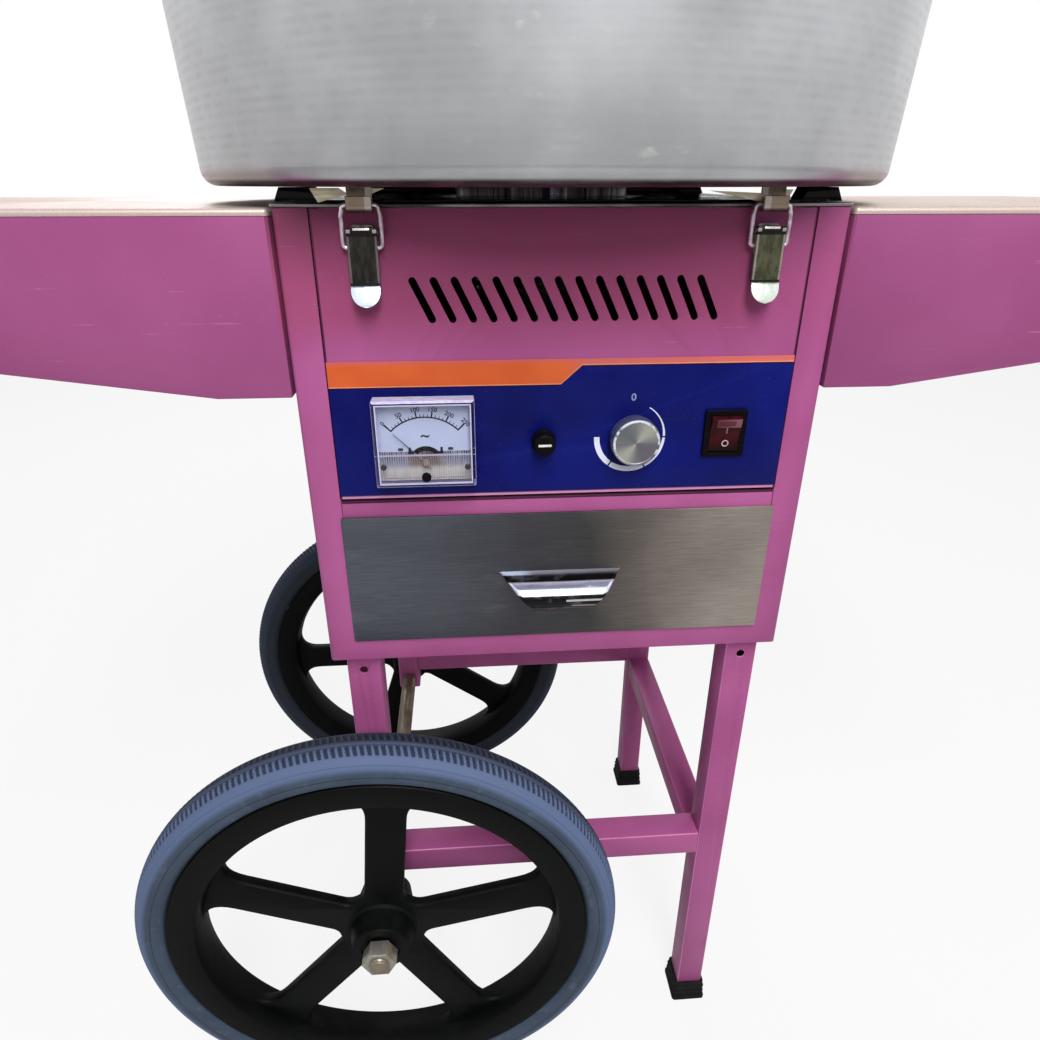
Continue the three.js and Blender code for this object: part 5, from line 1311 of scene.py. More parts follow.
cheek = [rocker_point(a) for a in (104, 97, 90, 83, 76, 69, 64)]
cheek += bend(rocker_point(62), (-5.4 * MM, 3 * MM), (-4.4 * MM, 0), 6)
cheek += bend((-4.4 * MM, 0), (-4.0 * MM, -3 * MM), rocker_point(-62), 6)
cheek += [rocker_point(a) for a in (-64, -69, -76, -83, -90, -97, -104)]
pivot_y = switch_front + SWITCH_PLATE + PIVOT_DEPTH
rocker = Blank().plate(
    cheek, 2 * ROCKER_HALF, 0.5 * MM, place=side_on(switch_x - ROCKER_HALF, pivot_y, switch_z),
)
rocker.piece("switch_rocker_red", rocker_red(), "rocker", "switch_rocker", "rocker_red", crisp=30)

lean = math.atan2(rocker_point(62)[0] + 4.4 * MM, rocker_point(62)[1])
tipped = Matrix.Rotation(math.radians(90) - lean, 4, "X")
upper = Matrix.Translation((switch_x + 0.9 * MM, pivot_y - 5.12 * MM, switch_z + 2.2 * MM)) @ tipped
tipped = Matrix.Rotation(math.radians(90) + 0.1, 4, "X")
lower = Matrix.Translation((switch_x + 0.7 * MM, pivot_y - 4.55 * MM, switch_z - 6.6 * MM)) @ tipped
mark = Blank().plate(rounded(0.42 * MM, 2.2 * MM, 0.3 * MM, 3), 0.12 * MM, place=upper)
mark.piece("switch_mark_on", ink("mark_dull", srgb(128, 96, 104), srgb(90, 60, 66)), "rocker", crisp=20)
ring = ring_of(2.35 * MM, 40)
mark = Blank().plate(ring, 0.14 * MM, 0, [ring_of(1.6 * MM, 40)[::-1]], lower)
mark.piece(
    "switch_mark_off", ink("mark_pale", srgb(196, 172, 174), srgb(140, 110, 112)), "rocker", crisp=20,
)


# Drawer.
# A flat front of brushed stainless laps the stiles. The tray behind it slides on two folded angles.
# The handle is a pressed cup pull, chromed, fixed at its upper edge.
# The drawer front's tones, dark to light across it, are painted reflection.
FRONT_STEEL_REFLECTIONS = [
    (0.0, srgb(96, 99, 110)), (0.35, srgb(74, 74, 80)), (0.6, srgb(74, 73, 74)), (0.8, srgb(120, 111, 106)),
    (1.0, srgb(170, 160, 152)),
]
drawer_steel = brushed("drawer_steel", FRONT_STEEL_REFLECTIONS, (14, 0.3, 0.3), 0.3, smears=0.1)
inner_steel = brushed(
    "inner_steel", [(0.0, srgb(150, 150, 150)), (1.0, srgb(172, 171, 168))], (0.35, 12, 0.35), 0.34,
)
paint(drawer_steel, "drawer_front")
ease_edges(0.3 * MM, "drawer_front")
paint(inner_steel, "drawer_tray", "runner_left", "runner_right")
ease_edges(0.2 * MM, "drawer_tray", "runner_left", "runner_right")

low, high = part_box("drawer_handle")
PULL_HALF = 43 * MM
PULL_LIP_HALF = 19 * MM
PULL_REACH = 21 * MM
PULL_DROP = 25 * MM
PULL_WALL = 1.6 * MM
PULL_SLANT = 0.468
PULL_BANDS = 32 * MM
PULL_ACROSS = 84
PULL_DOWN = 40


def pull_skin(shrink):
    """The cup pull's outer skin, or its inner one where it is moved in by the wall."""
    ends = np.array([
        (0, 0), (-PULL_REACH * 1.15, -PULL_DROP * 0.1), (-PULL_REACH * 1.35, -PULL_DROP * 0.62),
        (-PULL_REACH * 0.62, -PULL_DROP),
    ])
    rows = []
    for j in range(PULL_DOWN + 1):
        v = j / PULL_DOWN
        weights = np.array([(1 - v) ** 3, 3 * v * (1 - v) ** 2, 3 * v * v * (1 - v), v ** 3])
        out, down = weights @ ends
        half = PULL_HALF + (PULL_LIP_HALF - PULL_HALF) * v ** 1.5
        row = []
        for i in range(PULL_ACROSS + 1):
            u = 2 * i / PULL_ACROSS - 1
            close = min(1.0, (1 - abs(u)) / 0.2)
            close = (1 - (1 - close) ** 2) ** 0.62
            row.append((
                u * (half - shrink), high.y + out * close * (1 - shrink / PULL_REACH),
                high.z + down * (1 - shrink / PULL_DROP) - shrink * (1 - v),
            ))
        rows.append(row)
    return rows


def pull_chrome():
    """Chrome in a plain white room: the bands that it would mirror in a shop are in its colour."""
    finish = Finish("pull_chrome", metallic=0.75)
    wave = finish.noise(0.02, 2, (2.5, 1, 1)) * 0.03 - 0.015
    down = ((high.z - finish.z) + (high.y - finish.y) * PULL_SLANT) / PULL_BANDS + wave
    right = finish.x - (low.x + high.x) / 2
    tone = finish.ramp(down, [
        (0.0, srgb(176, 176, 190)), (0.06, srgb(150, 148, 160)), (0.1, srgb(62, 60, 68)),
        (0.13, srgb(10, 10, 16)), (0.24, srgb(12, 12, 20)), (0.27, srgb(238, 242, 252)),
        (0.33, srgb(198, 206, 232)), (0.47, srgb(206, 212, 234)), (0.53, srgb(246, 248, 254)),
        (0.56, srgb(112, 110, 118)), (0.59, srgb(8, 7, 11)), (0.7, srgb(18, 17, 20)),
        (0.86, srgb(34, 33, 35)), (1.0, srgb(50, 48, 48)),
    ])
    tone = finish.mix((down < 0.09) * right.fade(-18 * MM, -30 * MM), tone, srgb(216, 226, 246))
    lines = down.between(0.68, 0.73) * (right > 2 * MM) * 0.85
    lines = lines + down.between(0.82, 0.85) * (right > 6 * MM) * 0.5
    tone = finish.mix(lines + down.between(0.93, 0.955) * 0.3, tone, srgb(206, 206, 200))
    smear = finish.noise(0.01, 4).fade(0.5, 0.75)
    return finish.dress(
        finish.mix(smear * 0.3, tone, srgb(168, 164, 178)), smear * 0.12 + 0.16, finish.noise(0.004, 2),
        0.015 * MM,
    )


outer, inner = pull_skin(0), pull_skin(PULL_WALL)
pull = Blank().skin(outer, False, False, closed=False)
pull.skin(inner, False, False, closed=False)
pull.skin([outer[0], inner[0]], False, False, closed=False)
pull.skin([outer[-1], inner[-1]], False, False, closed=False)
for end in (0, -1):
    pull.skin([[row[end] for row in outer], [row[end] for row in inner]], False, False, closed=False)
pull.piece("cup_pull", pull_chrome(), "drawer", "drawer_handle", "polished_chrome", crisp=50)


# Deck and seat for the bowl.
# A stainless deck with a turned-down flange and a low polished drum over the motor's top.
# On it lies a black rubber sheet, cut round the drum, with a block at each corner and a lip along the back.
low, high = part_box("deck_plate")
middle = (low + high) / 2
DECK_HALF = (high.x - low.x) / 2
DECK_THICK = 2 * MM
DECK_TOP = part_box("bowl_seat")[0].z - 0.3 * MM
DECK_FLANGE_HALF = 145.3 * MM
DECK_FLANGE_DEPTH = 155.4 * MM
DRUM_RADIUS = 66 * MM
DRUM_WALL = 1.5 * MM
deck_base = DECK_TOP - DECK_THICK


def deck_steel():
    """Brushed on top. The edge and the drum's side are polished: the drum's side is painted in upright streaks
    of light and dark as painted reflection, and the edge in light and dark patches as painted highlight.
    """
    finish = Finish("deck_steel", metallic=0.85)
    streak = finish.noise(0.0012, 3, (12, 0.35, 0.35))
    flat = finish.mix(streak.fade(0.3, 0.7, 0.1, 0.6), srgb(196, 190, 184), srgb(120, 114, 110))
    # Painted reflection: upright streaks of light and dark round the drum.
    around = finish.x.angle(finish.y * -1)
    band = finish.node(
        "ShaderNodeTexNoise", {"noise_dimensions": "1D"},
        {"W": around * 9, "Scale": 1.0, "Detail": 2.5, "Roughness": 0.7},
    )
    mirror = finish.ramp(band, [
        (0.0, srgb(14, 14, 16)), (0.42, srgb(22, 22, 24)), (0.47, srgb(84, 82, 86)),
        (0.5, srgb(40, 38, 38)), (0.54, srgb(112, 106, 100)), (0.57, srgb(48, 48, 54)),
        (0.61, srgb(140, 144, 168)), (0.65, srgb(52, 52, 60)), (1.0, srgb(70, 70, 78)),
    ])
    reach = finish.x.hypot(finish.y)
    drum = (reach < DRUM_RADIUS + 0.4 * MM) * (finish.z > DECK_TOP + 0.3 * MM)
    tone = finish.mix(drum, flat, mirror)
    # Painted highlight and reflection in patches along the deck's edge.
    rim = abs(finish.y).greater(abs(finish.x)) > DECK_HALF - 0.9 * MM
    edge_highlight = finish.noise(0.05, 2).fade(0.35, 0.6)
    tone = finish.mix(rim, tone, finish.mix(edge_highlight, srgb(60, 54, 58), srgb(136, 126, 130)))
    return finish.dress(tone, streak * 0.2 + 0.2, streak, 0.01 * MM)


lift = Matrix.Translation((middle.x, middle.y, deck_base))
deck = Blank().plate(
    rounded(DECK_HALF, (high.y - low.y) / 2, 4 * MM, 6), DECK_THICK, 0.7 * MM,
    [ring_of(DRUM_RADIUS - DRUM_WALL, 96)[::-1]], lift,
)
drum_top = (high.z - deck_base) / MM
deck.spun([
    (64.5, 0.4), (65.9, 0.4), (66, 2.4), (66, drum_top - 1.8), (65.5, drum_top - 0.6), (64.2, drum_top),
    (16, drum_top), (14.4, drum_top - 0.3), (14, drum_top - 1.5), (62.6, drum_top - 1.5),
    (64.3, drum_top - 2.4),
], 144, lift)
flange = rounded(DECK_FLANGE_HALF, DECK_FLANGE_DEPTH, 3 * MM)
inside = rounded(DECK_FLANGE_HALF - DECK_THICK, DECK_FLANGE_DEPTH - DECK_THICK, 2 * MM)
deck.plate(
    flange, deck_base - low.z + 0.5 * MM, 0.3 * MM, [inside[::-1]],
    Matrix.Translation((middle.x, middle.y, low.z)),
)
deck.piece("deck_with_drum", deck_steel(), stands_for="deck_plate", slot="brushed_steel", crisp=35)

low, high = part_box("bowl_seat")
SHEET_THICK = 1.2 * MM
SEAT_X = 160 * MM
SEAT_Y = (high.y - low.y) / 2
LIP_THICK = 4 * MM
BLOCK_X = 157 * MM
BLOCK_Y = 141 * MM
BLOCK_HALF = 9 * MM
seat_rubber = rubber("seat_rubber", srgb(9, 9, 10), srgb(18, 18, 19), 0.004, 0.02, 0.1)
seat = Blank().plate(
    rounded(SEAT_X, SEAT_Y, 6 * MM, 8), SHEET_THICK, 0.25 * MM, [ring_of(DRUM_RADIUS + 1 * MM, 96)[::-1]],
    Matrix.Translation((0, 0, low.z)),
)
lip = rounded(SEAT_X - 6 * MM, LIP_THICK / 2, 0.8 * MM, 3)
seat.plate(
    lip, high.z - low.z - 0.3 * MM, 0.4 * MM, place=Matrix.Translation((0, SEAT_Y - LIP_THICK / 2, low.z)),
)
block = [(-13 * MM, 0), (13 * MM, 0), (9.3 * MM, high.z - low.z), (-9.3 * MM, high.z - low.z)]
for x in (-BLOCK_X, BLOCK_X):
    for y in (-BLOCK_Y, BLOCK_Y):
        seat.plate(block, 2 * BLOCK_HALF, 0.6 * MM, place=facing_front(x, y + BLOCK_HALF, low.z))
seat.piece("rubber_seat", seat_rubber, stands_for="bowl_seat", slot="black_rubber", crisp=30)


# Motor, shaft and spinning head.
# An iron motor hangs under the deck by its square flange. Its shaft carries the aluminium head, a closed pot
# with a ring of slots in its side and a heating ribbon behind them, and the mouth for the sugar on top.
low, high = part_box("motor")
MOTOR_FLANGE_THICK = 4 * MM
motor_iron = Finish("motor_iron", metallic=0.2)
grime_and_shade = motor_iron.noise(0.03, 4, roughness=0.6).fade(0.4, 0.7)
motor_iron.dress(
    motor_iron.mix(grime_and_shade, srgb(66, 70, 74), srgb(88, 90, 92)), grime_and_shade * 0.2 + 0.42,
    motor_iron.noise(0.0015, 3), 0.12 * MM,
)
hang = Matrix.Translation((0, 0, high.z))
motor_length = (high.z - low.z) / MM
profile = [(6.3, -60), (6.3, -4), (51.9, -2), (51.9, -14), (50.4, -14.6), (50.4, -17.4), (51.9, -18)]
for depth in (26, 32, 38, 44, 50, 56, 62):
    profile += [(51.9, -depth), (49.9, -depth - 0.6), (49.9, -depth - 2.4), (51.9, -depth - 3)]
profile += [
    (51.9, -motor_length + 5.4), (50.6, -motor_length + 2), (47, -motor_length), (20, -motor_length),
    (19, -motor_length + 1.2), (0, -motor_length + 1.2), (0, -60),
]
motor = Blank().spun(profile, 72, hang)
flange = rounded((high.x - low.x) / 2, (high.y - low.y) / 2, 6 * MM, 6)
motor.plate(
    flange, MOTOR_FLANGE_THICK, 0.5 * MM, [ring_of(6.3 * MM, 40)[::-1]],
    Matrix.Translation((0, 0, high.z - MOTOR_FLANGE_THICK)),
)
motor.piece("motor_body", motor_iron.material, stands_for="motor", slot="motor_iron", crisp=30)

low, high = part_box("motor_shaft")
shaft_steel = dull_steel("shaft_steel", srgb(150, 148, 144), srgb(120, 108, 96), 0.85)
length = (high.z - low.z) / MM
shaft = Blank().spun(
    [(0, 0), (5.4, 0), (6, 0.6), (6, length - 0.8), (5.2, length), (0, length)], 40,
    Matrix.Translation((0, 0, low.z)),
)
shaft.piece("drive_shaft", shaft_steel, "spinner", "motor_shaft", "axle_steel", crisp=30)

low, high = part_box("spinner_head")
HEAD_SLOTS = 36
SLOT_SHARE = 0.5
BAND_LOW = 18
BAND_HIGH = 34


def spun_aluminium(name, dark, light, ring_pitch, roughness=0.3, tint=None, ring_depth=1.0):
    """Spun sheet: fine rings round the middle, slow tone changes, water marks and small dents."""
    finish = Finish(name, metallic=0.8)
    reach = finish.x.hypot(finish.y)
    groove = ((reach + finish.z) * (2 * math.pi / ring_pitch)).sine() * 0.5 + 0.5
    ring = groove * finish.noise(0.01, 3).fade(0.3, 0.7) * ring_depth
    cloud = finish.noise(0.07, 3).fade(0.35, 0.7)
    mark = finish.noise(0.016, 5, (1, 1, 0.5), 0.65).fade(0.6, 0.72, 0, 0.35)
    tone = finish.mix(cloud, dark, light)
    tone = finish.mix(ring * 0.25, tone, srgb(96, 98, 102))
    tone = finish.mix(mark, tone, srgb(206, 204, 198))
    if tint:
        tone = tint(finish, tone)
    return finish.dress(
        tone, ring * 0.12 + mark * 0.25 + roughness, ring + finish.noise(0.03, 2) * 0.8, 0.02 * MM,
    )


def section_at(a, corners, place):
    """A cross-section of radii and heights in millimetres, turned by a about the place's Z."""
    return [place @ Vector((r * MM * math.cos(a), r * MM * math.sin(a), h * MM)) for r, h in corners]


head_metal = spun_aluminium("head_metal", srgb(166, 168, 172), srgb(190, 191, 194), 0.0009)
level = Matrix.Translation((0, 0, low.z))
tall = (high.z - low.z) / MM
head = Blank().spun([
    (10, 2.5), (58.6, 2.5), (65.4, 9.2), (65.5, BAND_LOW), (67.9, BAND_LOW), (68, 8.6), (67.6, 7.6),
    (60.6, 0.5), (59.6, 0), (6.3, 0), (6.3, tall - 14.2), (0, tall - 14.2), (0, tall - 10),
    (9.2, tall - 10), (10, tall - 10.8),
], 128, level)
head.spun([
    (65.5, BAND_HIGH), (65.5, tall - 8.5), (60.5, tall - 2.5), (31, tall - 2.5), (30.9, tall - 0.6),
    (31.5, tall), (63.2, tall), (64.4, tall - 0.5), (67.6, tall - 5.4), (68, tall - 6.4), (67.9, BAND_HIGH),
], 128, level)
band = [(65.5, BAND_LOW - 0.2), (67.9, BAND_LOW - 0.2), (67.9, BAND_HIGH + 0.2), (65.5, BAND_HIGH + 0.2)]
for i in range(HEAD_SLOTS):
    turns = [2 * math.pi * (i + SLOT_SHARE + (1 - SLOT_SHARE) * j / 4) / HEAD_SLOTS for j in range(5)]
    head.skin([section_at(a, band, level) for a in turns])
head.piece("head_pot", head_metal, "spinner", "spinner_head", "spun_aluminium", crisp=32)
ribbon_metal = dull_steel("heater_ribbon", srgb(116, 92, 76), srgb(84, 58, 48), 0.6)
ribbon = Blank()
rings = []
for i in range(540):
    a = 2 * math.pi * i / 540
    reach = 62.6 + 0.8 * math.sin(90 * a)
    corners = [(reach, 15), (reach + 0.3, 15), (reach + 0.3, 37), (reach, 37)]
    rings.append(section_at(a, corners, level))
rings.append(rings[0])
ribbon.skin(rings, False, False)
ribbon.piece("heater_ribbon", ribbon_metal, "spinner", crisp=40)


# Bowl.
# One large spun aluminium bowl: a flat floor with an upstand round the head, a straight flared wall and a
# rolled rim. Four folded steel hooks are riveted under its floor for the latches to pull on.
low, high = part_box("bowl")
BOWL_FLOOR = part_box("bowl_seat")[1].z + 0.3 * MM
BOWL_RADIUS = (high.x - low.x) / 2 / MM
BOWL_HEIGHT = (high.z - BOWL_FLOOR) / MM
BEAD = 4.0
BOWL_WALL = 1.5
BOWL_BEND = 10
FLOOR_RADIUS = 244
HOLE_RADIUS = 78
UPSTAND = 12


def deck_reflection_tint(finish, tone):
    """Painted reflection: the bend under the floor is darker and brown, where it would mirror the deck."""
    under = finish.z.fade(BOWL_FLOOR + 2.2 * MM, BOWL_FLOOR + 4.5 * MM, 1, 0)
    streak = finish.noise(0.02, 3, (1, 1, 0.2)).fade(0.3, 0.7)
    return finish.mix(under, tone, finish.mix(streak, srgb(46, 38, 38), srgb(92, 78, 76)))


bowl_metal = spun_aluminium(
    "bowl_metal", srgb(176, 177, 180), srgb(196, 197, 200), 0.0053, 0.3, deck_reflection_tint, 0.45,
)
rim_radius = BOWL_RADIUS - BEAD
profile = [
    (HOLE_RADIUS, UPSTAND - 0.4), (HOLE_RADIUS, 2.2), (HOLE_RADIUS + 0.4, 0.8), (HOLE_RADIUS + 1.6, 0),
]
bends = [math.pi / 2 * i / 12 for i in range(13)]
profile += [
    (FLOOR_RADIUS - BOWL_BEND + BOWL_BEND * math.sin(a), BOWL_BEND - BOWL_BEND * math.cos(a))
    for a in bends
]
beads = [math.pi * (-0.72 + 1.72 * i / 24) for i in range(25)]
profile += [(rim_radius + BEAD * math.cos(a), BOWL_HEIGHT - BEAD + BEAD * math.sin(a)) for a in beads]
inner_bend = BOWL_BEND - BOWL_WALL
profile += [
    (FLOOR_RADIUS - BOWL_BEND + inner_bend * math.sin(a), BOWL_BEND - inner_bend * math.cos(a))
    for a in reversed(bends)
]
profile += [
    (HOLE_RADIUS + 2.6, BOWL_WALL), (HOLE_RADIUS + BOWL_WALL, 2.8),
    (HOLE_RADIUS + BOWL_WALL, UPSTAND - 0.3), (HOLE_RADIUS + 0.7, UPSTAND),
]
floss_bowl = Blank().spun(profile, 192, Matrix.Translation((0, 0, BOWL_FLOOR)))
floss_bowl.piece("floss_bowl", bowl_metal, stands_for="bowl", slot="spun_aluminium", crisp=50)

LATCH_PLACES = {"front_left": (-1, -1), "front_right": (1, -1), "rear_left": (-1, 1), "rear_right": (1, 1)}
BAIL_RADIUS = 1.3 * MM
BAIL_OFFSET = 8 * MM
PIN_OUT = 4.2 * MM
PIN_BELOW_TOP = 4 * MM
BAIL_RISE = 22.4 * MM
HOOK_HALF = 7 * MM
HOOK_SHEET = 1.4 * MM
HOOK_ROOM = 2 * MM
HOOK_LIP = 5.5 * MM
HOOK_WEBS = {
    -1: [[(-27, -0.6), (-11, -0.6), (-7, -3.2), (-7, -4), (-23, -8)], [(7, -0.6), (14, -0.8), (7, -3.6)]],
    1: [[(-38, -2), (-7, -3.4), (-7, -8)], [(6.6, -1.5), (11.6, -1.5), (7, -10)]],
}


def latch_frame(place):
    """A latch's own frame, about its lever pin, with the viewer on its -Y side."""
    low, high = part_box("latch_base_" + place)
    _, end = LATCH_PLACES[place]
    back = high.y if end < 0 else low.y
    pin_y = back + end * PIN_OUT
    turn = Matrix.Rotation(math.pi if end > 0 else 0, 4, "Z")
    return Matrix.Translation(((low.x + high.x) / 2, pin_y, high.z - PIN_BELOW_TOP)) @ turn


def across(frame_of, x):
    """The frame turned so that U is to the back, V up and the thickness along X, from x on."""
    return frame_of @ side_on(x, 0, 0)


hook_steel = Finish("hook_steel", metallic=0.6)
gleam = hook_steel.noise(0.006, 3).fade(0.35, 0.65)
hook_middle = abs(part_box("latch_base_front_left")[0].x) - 6.5 * MM
hook_side_highlight = abs(abs(hook_steel.x) - hook_middle) > HOOK_HALF - 1.1 * MM
# Painted light on the hooks: darker brown at the top under the floor as painted shade, a painted highlight on
# the side edges, and a dark pink painted shade on the lowest part.
hook_tone = hook_steel.mix(
    hook_steel.z.fade(BOWL_FLOOR - 7 * MM, BOWL_FLOOR - 1 * MM), srgb(150, 130, 114), srgb(74, 56, 46),
)
hook_tone = hook_steel.mix(gleam * 0.3, hook_tone, srgb(176, 160, 142))
hook_tone = hook_steel.mix(hook_side_highlight * 0.5, hook_tone, srgb(222, 214, 206))
hook_low_shade = hook_steel.z.fade(BOWL_FLOOR - 12 * MM, BOWL_FLOOR - 10.5 * MM, 0.85, 0)
hook_steel.dress(
    hook_steel.mix(hook_low_shade, hook_tone, srgb(70, 38, 46)), gleam * 0.15 + 0.28, hook_steel.noise(0.002, 2),
    0.03 * MM,
)
# The webs are a pressed bracket; their pale beige is painted highlight.
web_steel_highlight = Finish("web_steel_highlight", metallic=0.3)
grain = web_steel_highlight.noise(0.0016, 3, (6, 1, 1)).fade(0.35, 0.65)
web_steel_highlight.dress(
    web_steel_highlight.mix(grain, srgb(206, 190, 158), srgb(234, 226, 204)), grain * 0.15 + 0.3, grain, 0.01 * MM,
)
for place in LATCH_PLACES:
    pin = latch_frame(place)
    wire_z = BAIL_RISE - BAIL_OFFSET
    back = BAIL_RADIUS + 0.3 * MM
    lip = -BAIL_RADIUS - HOOK_ROOM
    middle = (back + lip) / 2
    radius = (back - lip) / 2
    rise = BOWL_FLOOR + 0.7 * MM - pin.translation.z - wire_z
    sag = -0.3 * MM
    face = [(back + HOOK_SHEET, rise), (back, rise)]
    face += arc_of(radius, 0, -math.pi, 15, middle, sag)
    face += [
        (lip, HOOK_LIP - 1.3 * MM), (lip - 0.4 * MM, HOOK_LIP - 1 * MM),
        (lip - HOOK_SHEET + 0.4 * MM, HOOK_LIP - 1 * MM), (lip - HOOK_SHEET, HOOK_LIP - 1.3 * MM),
    ]
    face += arc_of(radius + HOOK_SHEET, -math.pi, 0, 19, middle, sag)
    hook = Blank().plate(
        face[::-1], 2 * HOOK_HALF, 0.25 * MM,
        place=across(pin @ Matrix.Translation((0, 0, wire_z)), -HOOK_HALF),
    )
    hook.piece("bowl_hook_" + place, hook_steel.material, crisp=32)
    drop = BOWL_FLOOR - pin.translation.z
    web = Blank()
    for corners in HOOK_WEBS[LATCH_PLACES[place][0]]:
        corners = [(x * MM, drop + z * MM) for x, z in corners]
        turned_left = sum(a[0] * b[1] - a[1] * b[0] for a, b in zip(corners, corners[1:] + corners[:1])) > 0
        web.plate(
            corners if turned_left else corners[::-1], 0.9 * MM, 0.15 * MM,
            place=pin @ facing_front(0, back + HOOK_SHEET, 0),
        )
    web.piece("hook_web_" + place, web_steel_highlight.material, crisp=32)


# Draw latches.
# Nickel-plated steel: a base plate with two ears and a pin, a pressed lever with folded cheeks and a round
# tip, and a bright wire bail that hooks round the bowl's hook.
LEVER_HALF = 8.5 * MM
LEVER_LENGTH = 40 * MM
LEVER_TIP = 12 * MM
PIN_RADIUS = 1.5 * MM
BASE_HALF = 6.5 * MM
LATCH_SHEET = 1.2 * MM


def plated(name, dark, light, tip, edge, side):
    """Nickel plate with painted light: its middle painted dark as a reflection of the room in front, and its
    edges, top bars and tip painted bright as highlights.
    """
    finish = Finish(name, metallic=0.65)
    du = abs(finish.x - side)
    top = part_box("latch_lever_front_left")[1].z
    down = top - finish.z
    grain = finish.noise(0.004, 4, (1, 1, 2.5), 0.6).fade(0.35, 0.7)
    tone = finish.mix(grain, dark, light)
    # Painted light down the lever: lighter edges, a dark band at the top with bright bars and knuckles, a dark
    # line and a bright tip.
    tone = finish.mix((du > LEVER_HALF - 1.3 * MM) * 0.75, tone, edge)
    tone = finish.mix(down.between(-1 * MM, 4.6 * MM), tone, srgb(28, 23, 22))
    bar = down.between(0.2 * MM, 1.4 * MM) * (du < 4.6 * MM)
    knuckle_highlight = down.between(1.0 * MM, 2.8 * MM) * (du > 6.2 * MM)
    tone = finish.mix(bar.greater(knuckle_highlight * 0.6), tone, srgb(222, 214, 206))
    tone = finish.mix(down.between(29.6 * MM, 31.2 * MM), tone, srgb(22, 20, 22))
    tone = finish.mix(down.fade(31.0 * MM, 32.6 * MM), tone, tip)
    return finish.dress(tone, grain * 0.16 + 0.22, finish.noise(0.0016, 2), 0.02 * MM)


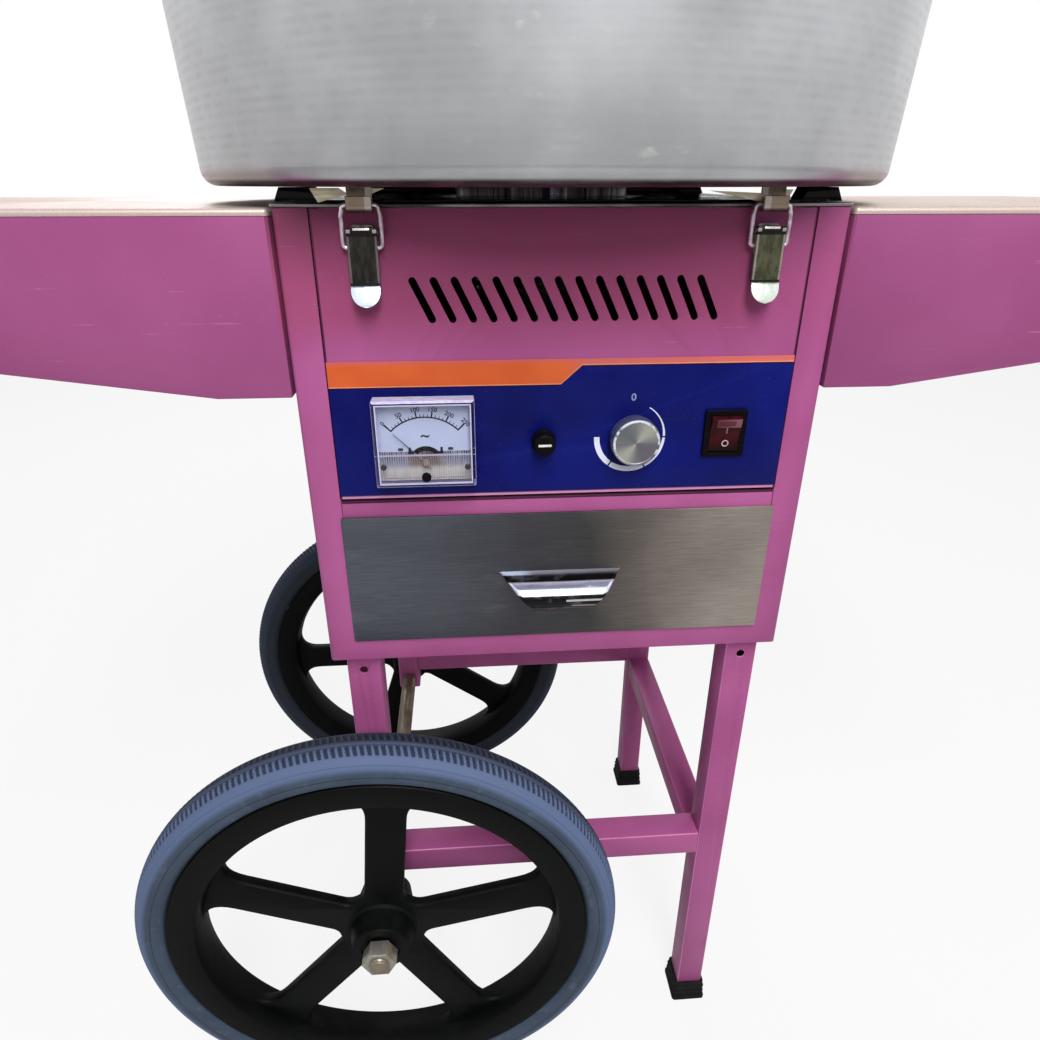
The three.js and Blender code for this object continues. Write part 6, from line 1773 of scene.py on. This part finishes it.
def build_latch(place, lever_metal, base_metal, wire_metal):
    pin = latch_frame(place)
    base = Blank()
    tall = 34 * MM
    sheet = rounded(BASE_HALF, tall / 2, 1.4 * MM)
    base.plate(sheet, LATCH_SHEET, 0.25 * MM, place=pin @ facing_front(0, PIN_OUT, PIN_BELOW_TOP - tall / 2))
    ear_radius = PIN_RADIUS + 1.2 * MM
    ear = arc_of(ear_radius, math.pi / 2, 1.5 * math.pi, 17)
    ear += [(PIN_OUT - 0.6 * MM, -ear_radius), (PIN_OUT - 0.6 * MM, ear_radius)]
    for x in (-BASE_HALF, BASE_HALF - LATCH_SHEET):
        base.plate(ear, LATCH_SHEET, 0.15 * MM, place=across(pin, x))
    end = LEVER_HALF / MM + 0.6
    rod = [(0, -end), (1.1, -end), (1.5, -end + 0.4), (1.5, end - 0.4), (1.1, end), (0, end)]
    base.spun(rod, 28, across(pin, 0))
    for drop in (-12, -24):
        rivet = pin @ facing_front(0, PIN_OUT - LATCH_SHEET, drop * MM)
        base.spun([(0, 0), (2.3, 0), (2.0, 0.7), (1.0, 1.1), (0, 1.2)], 24, rivet)
    base.piece(
        "latch_plate_" + place, base_metal, stands_for="latch_base_" + place, slot="latch_steel", crisp=32,
    )

    crown = PIN_RADIUS + 1.2 * MM
    bend_at = LEVER_TIP - LEVER_LENGTH
    kick = LEVER_TIP * 0.3
    rings = []
    heights = [crown, crown - 0.3 * MM] + list(np.linspace(crown - 2 * MM, bend_at + 1.5 * MM, 14))
    heights += list(np.linspace(bend_at, LEVER_HALF - LEVER_LENGTH, 5))
    heights += [
        -LEVER_LENGTH + LEVER_HALF * (1 - math.sin(a))
        for a in np.linspace(0.12, math.pi / 2 - 0.03, 14)
    ]
    for z in heights:
        over = max(0.0, LEVER_HALF - LEVER_LENGTH - z)
        half = LEVER_HALF if over == 0 else math.sqrt(max(LEVER_HALF ** 2 - over ** 2, 1e-9))
        half -= 0.3 * MM if z == crown else 0
        share = max(0.0, min(1.0, (bend_at - z) / LEVER_TIP))
        y = -crown - LATCH_SHEET / 2 - kick * share
        thick = LATCH_SHEET / 2 * (0.72 if z == crown else 1)
        loop = rounded(half, thick, min(0.35 * MM, half * 0.4), 4)
        rings.append([
            pin @ Vector((u, y + v + 0.25 * MM * (abs(u) / LEVER_HALF) ** 4, z))
            for u, v in loop
        ])
    lever = Blank().skin(rings)
    cheek_half = BASE_HALF + 0.3 * MM
    web = -crown - LATCH_SHEET + 0.3 * MM
    low_end = -BAIL_OFFSET - 5 * MM
    cheek = arc_of(crown, 0, math.pi / 2, 9)
    cheek += [(web, crown), (web, low_end), (-crown, low_end)]
    cheek += arc_of(crown, -math.pi / 2, 0, 9, 0, -BAIL_OFFSET)
    holes = [
        ring_of(PIN_RADIUS + 0.3 * MM, 24)[::-1],
        ring_of(BAIL_RADIUS + 0.3 * MM, 24, 0, -BAIL_OFFSET)[::-1],
    ]
    for x in (cheek_half, -LEVER_HALF):
        lever.plate(cheek, LEVER_HALF - cheek_half, 0.3 * MM, holes, across(pin, x))
    lever.piece(
        "latch_handle_" + place, lever_metal, "lever_" + place, "latch_lever_" + place, "latch_steel",
        crisp=32,
    )

    wide = 12.3 * MM - BAIL_RADIUS
    neck = 11.5 * MM - BAIL_RADIUS
    shoulder = BAIL_RISE * 0.68
    turn = 2.6 * MM
    path = [(-BASE_HALF - 0.3 * MM, 0), (turn - wide, 0)]
    path += bend(path[-1], (-wide, 0), (-wide, turn), 8)
    path += [(-wide, shoulder * 0.6), (-wide, shoulder)]
    path += bend(path[-1], (-wide - 0.2 * MM, shoulder + 1.6 * MM), (-neck, BAIL_RISE - turn), 6)
    path += bend(path[-1], (-neck, BAIL_RISE), (turn - neck, BAIL_RISE), 8)
    path += [(-x, z) for x, z in reversed(path)]
    wire = Blank().wire([pin @ Vector((x, 0, z - BAIL_OFFSET)) for x, z in path], BAIL_RADIUS, 14)
    wire.piece(
        "latch_wire_" + place, wire_metal, "bail_" + place, "latch_bail_" + place, "polished_chrome",
        crisp=60,
    )


# Painted reflection: the wire is tinted a pale pink from the enamel round it, and painted lighter further out
# to the sides.
def bright_wire():
    finish = Finish("bright_wire", metallic=0.7)
    grain = finish.noise(0.003, 3, (1, 1, 2)).fade(0.35, 0.7)
    side = abs(finish.x).fade(0.1, 0.13)
    return finish.dress(
        finish.mix(grain, finish.mix(side, srgb(226, 208, 220), srgb(238, 226, 234)), srgb(170, 150, 164)),
        grain * 0.14 + 0.18, finish.noise(0.0012, 2), 0.01 * MM,
    )


wire_bright = bright_wire()
base_nickel = dull_steel("base_nickel", srgb(120, 112, 112), srgb(92, 82, 82), 0.7)
LATCH_X = abs(latch_frame("front_left").translation.x)
# The left and right levers are painted in different tones, as painted light.
LEVER_PAINTED_LIGHT = {
    -1: (srgb(40, 37, 34), srgb(56, 53, 48), srgb(222, 232, 248), srgb(126, 118, 120)),
    1: (srgb(76, 76, 56), srgb(96, 96, 74), srgb(214, 224, 214), srgb(176, 172, 160)),
}
LEVER_METAL = {
    side: plated(f"lever_{name}", *LEVER_PAINTED_LIGHT[side], side * LATCH_X)
    for side, name in ((-1, "left"), (1, "right"))
}
for place in LATCH_PLACES:
    build_latch(place, LEVER_METAL[LATCH_PLACES[place][0]], base_nickel, wire_bright)


# Cord gland.
# A black nylon strain relief snapped into the back wall. The photograph shows no cord, so none is fitted.
low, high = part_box("cord_gland")
gland = facing_front((low.x + high.x) / 2, low.y, (low.z + high.z) / 2) @ Matrix.Rotation(math.pi, 4, "X")
back = -(low.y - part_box("cabinet_wrap")[1].y) / MM
reach = (high.y - low.y) / MM
dome = Blank().spun([
    (3.7, 0.4), (4.1, 0), (6.4, 0), (7, 0.8), (7, back + 0.3), (10.4, back + 0.3), (11, back + 0.9),
    (11, back + 3.4), (10.4, back + 4), (8.6, back + 4.2), (7.6, back + 5), (7.4, back + 6.4),
    (6.8, back + 6.6), (6.7, back + 8), (6.1, back + 8.2), (6, back + 9.6), (5.4, back + 9.8),
    (5.2, reach - 0.4), (4.8, reach), (3.9, reach), (3.7, reach - 0.3),
], 48, gland)
dome.piece(
    "cord_strain_relief", moulded_black("gland_black", roughness=0.4), stands_for="cord_gland",
    slot="black_plastic", crisp=32,
)
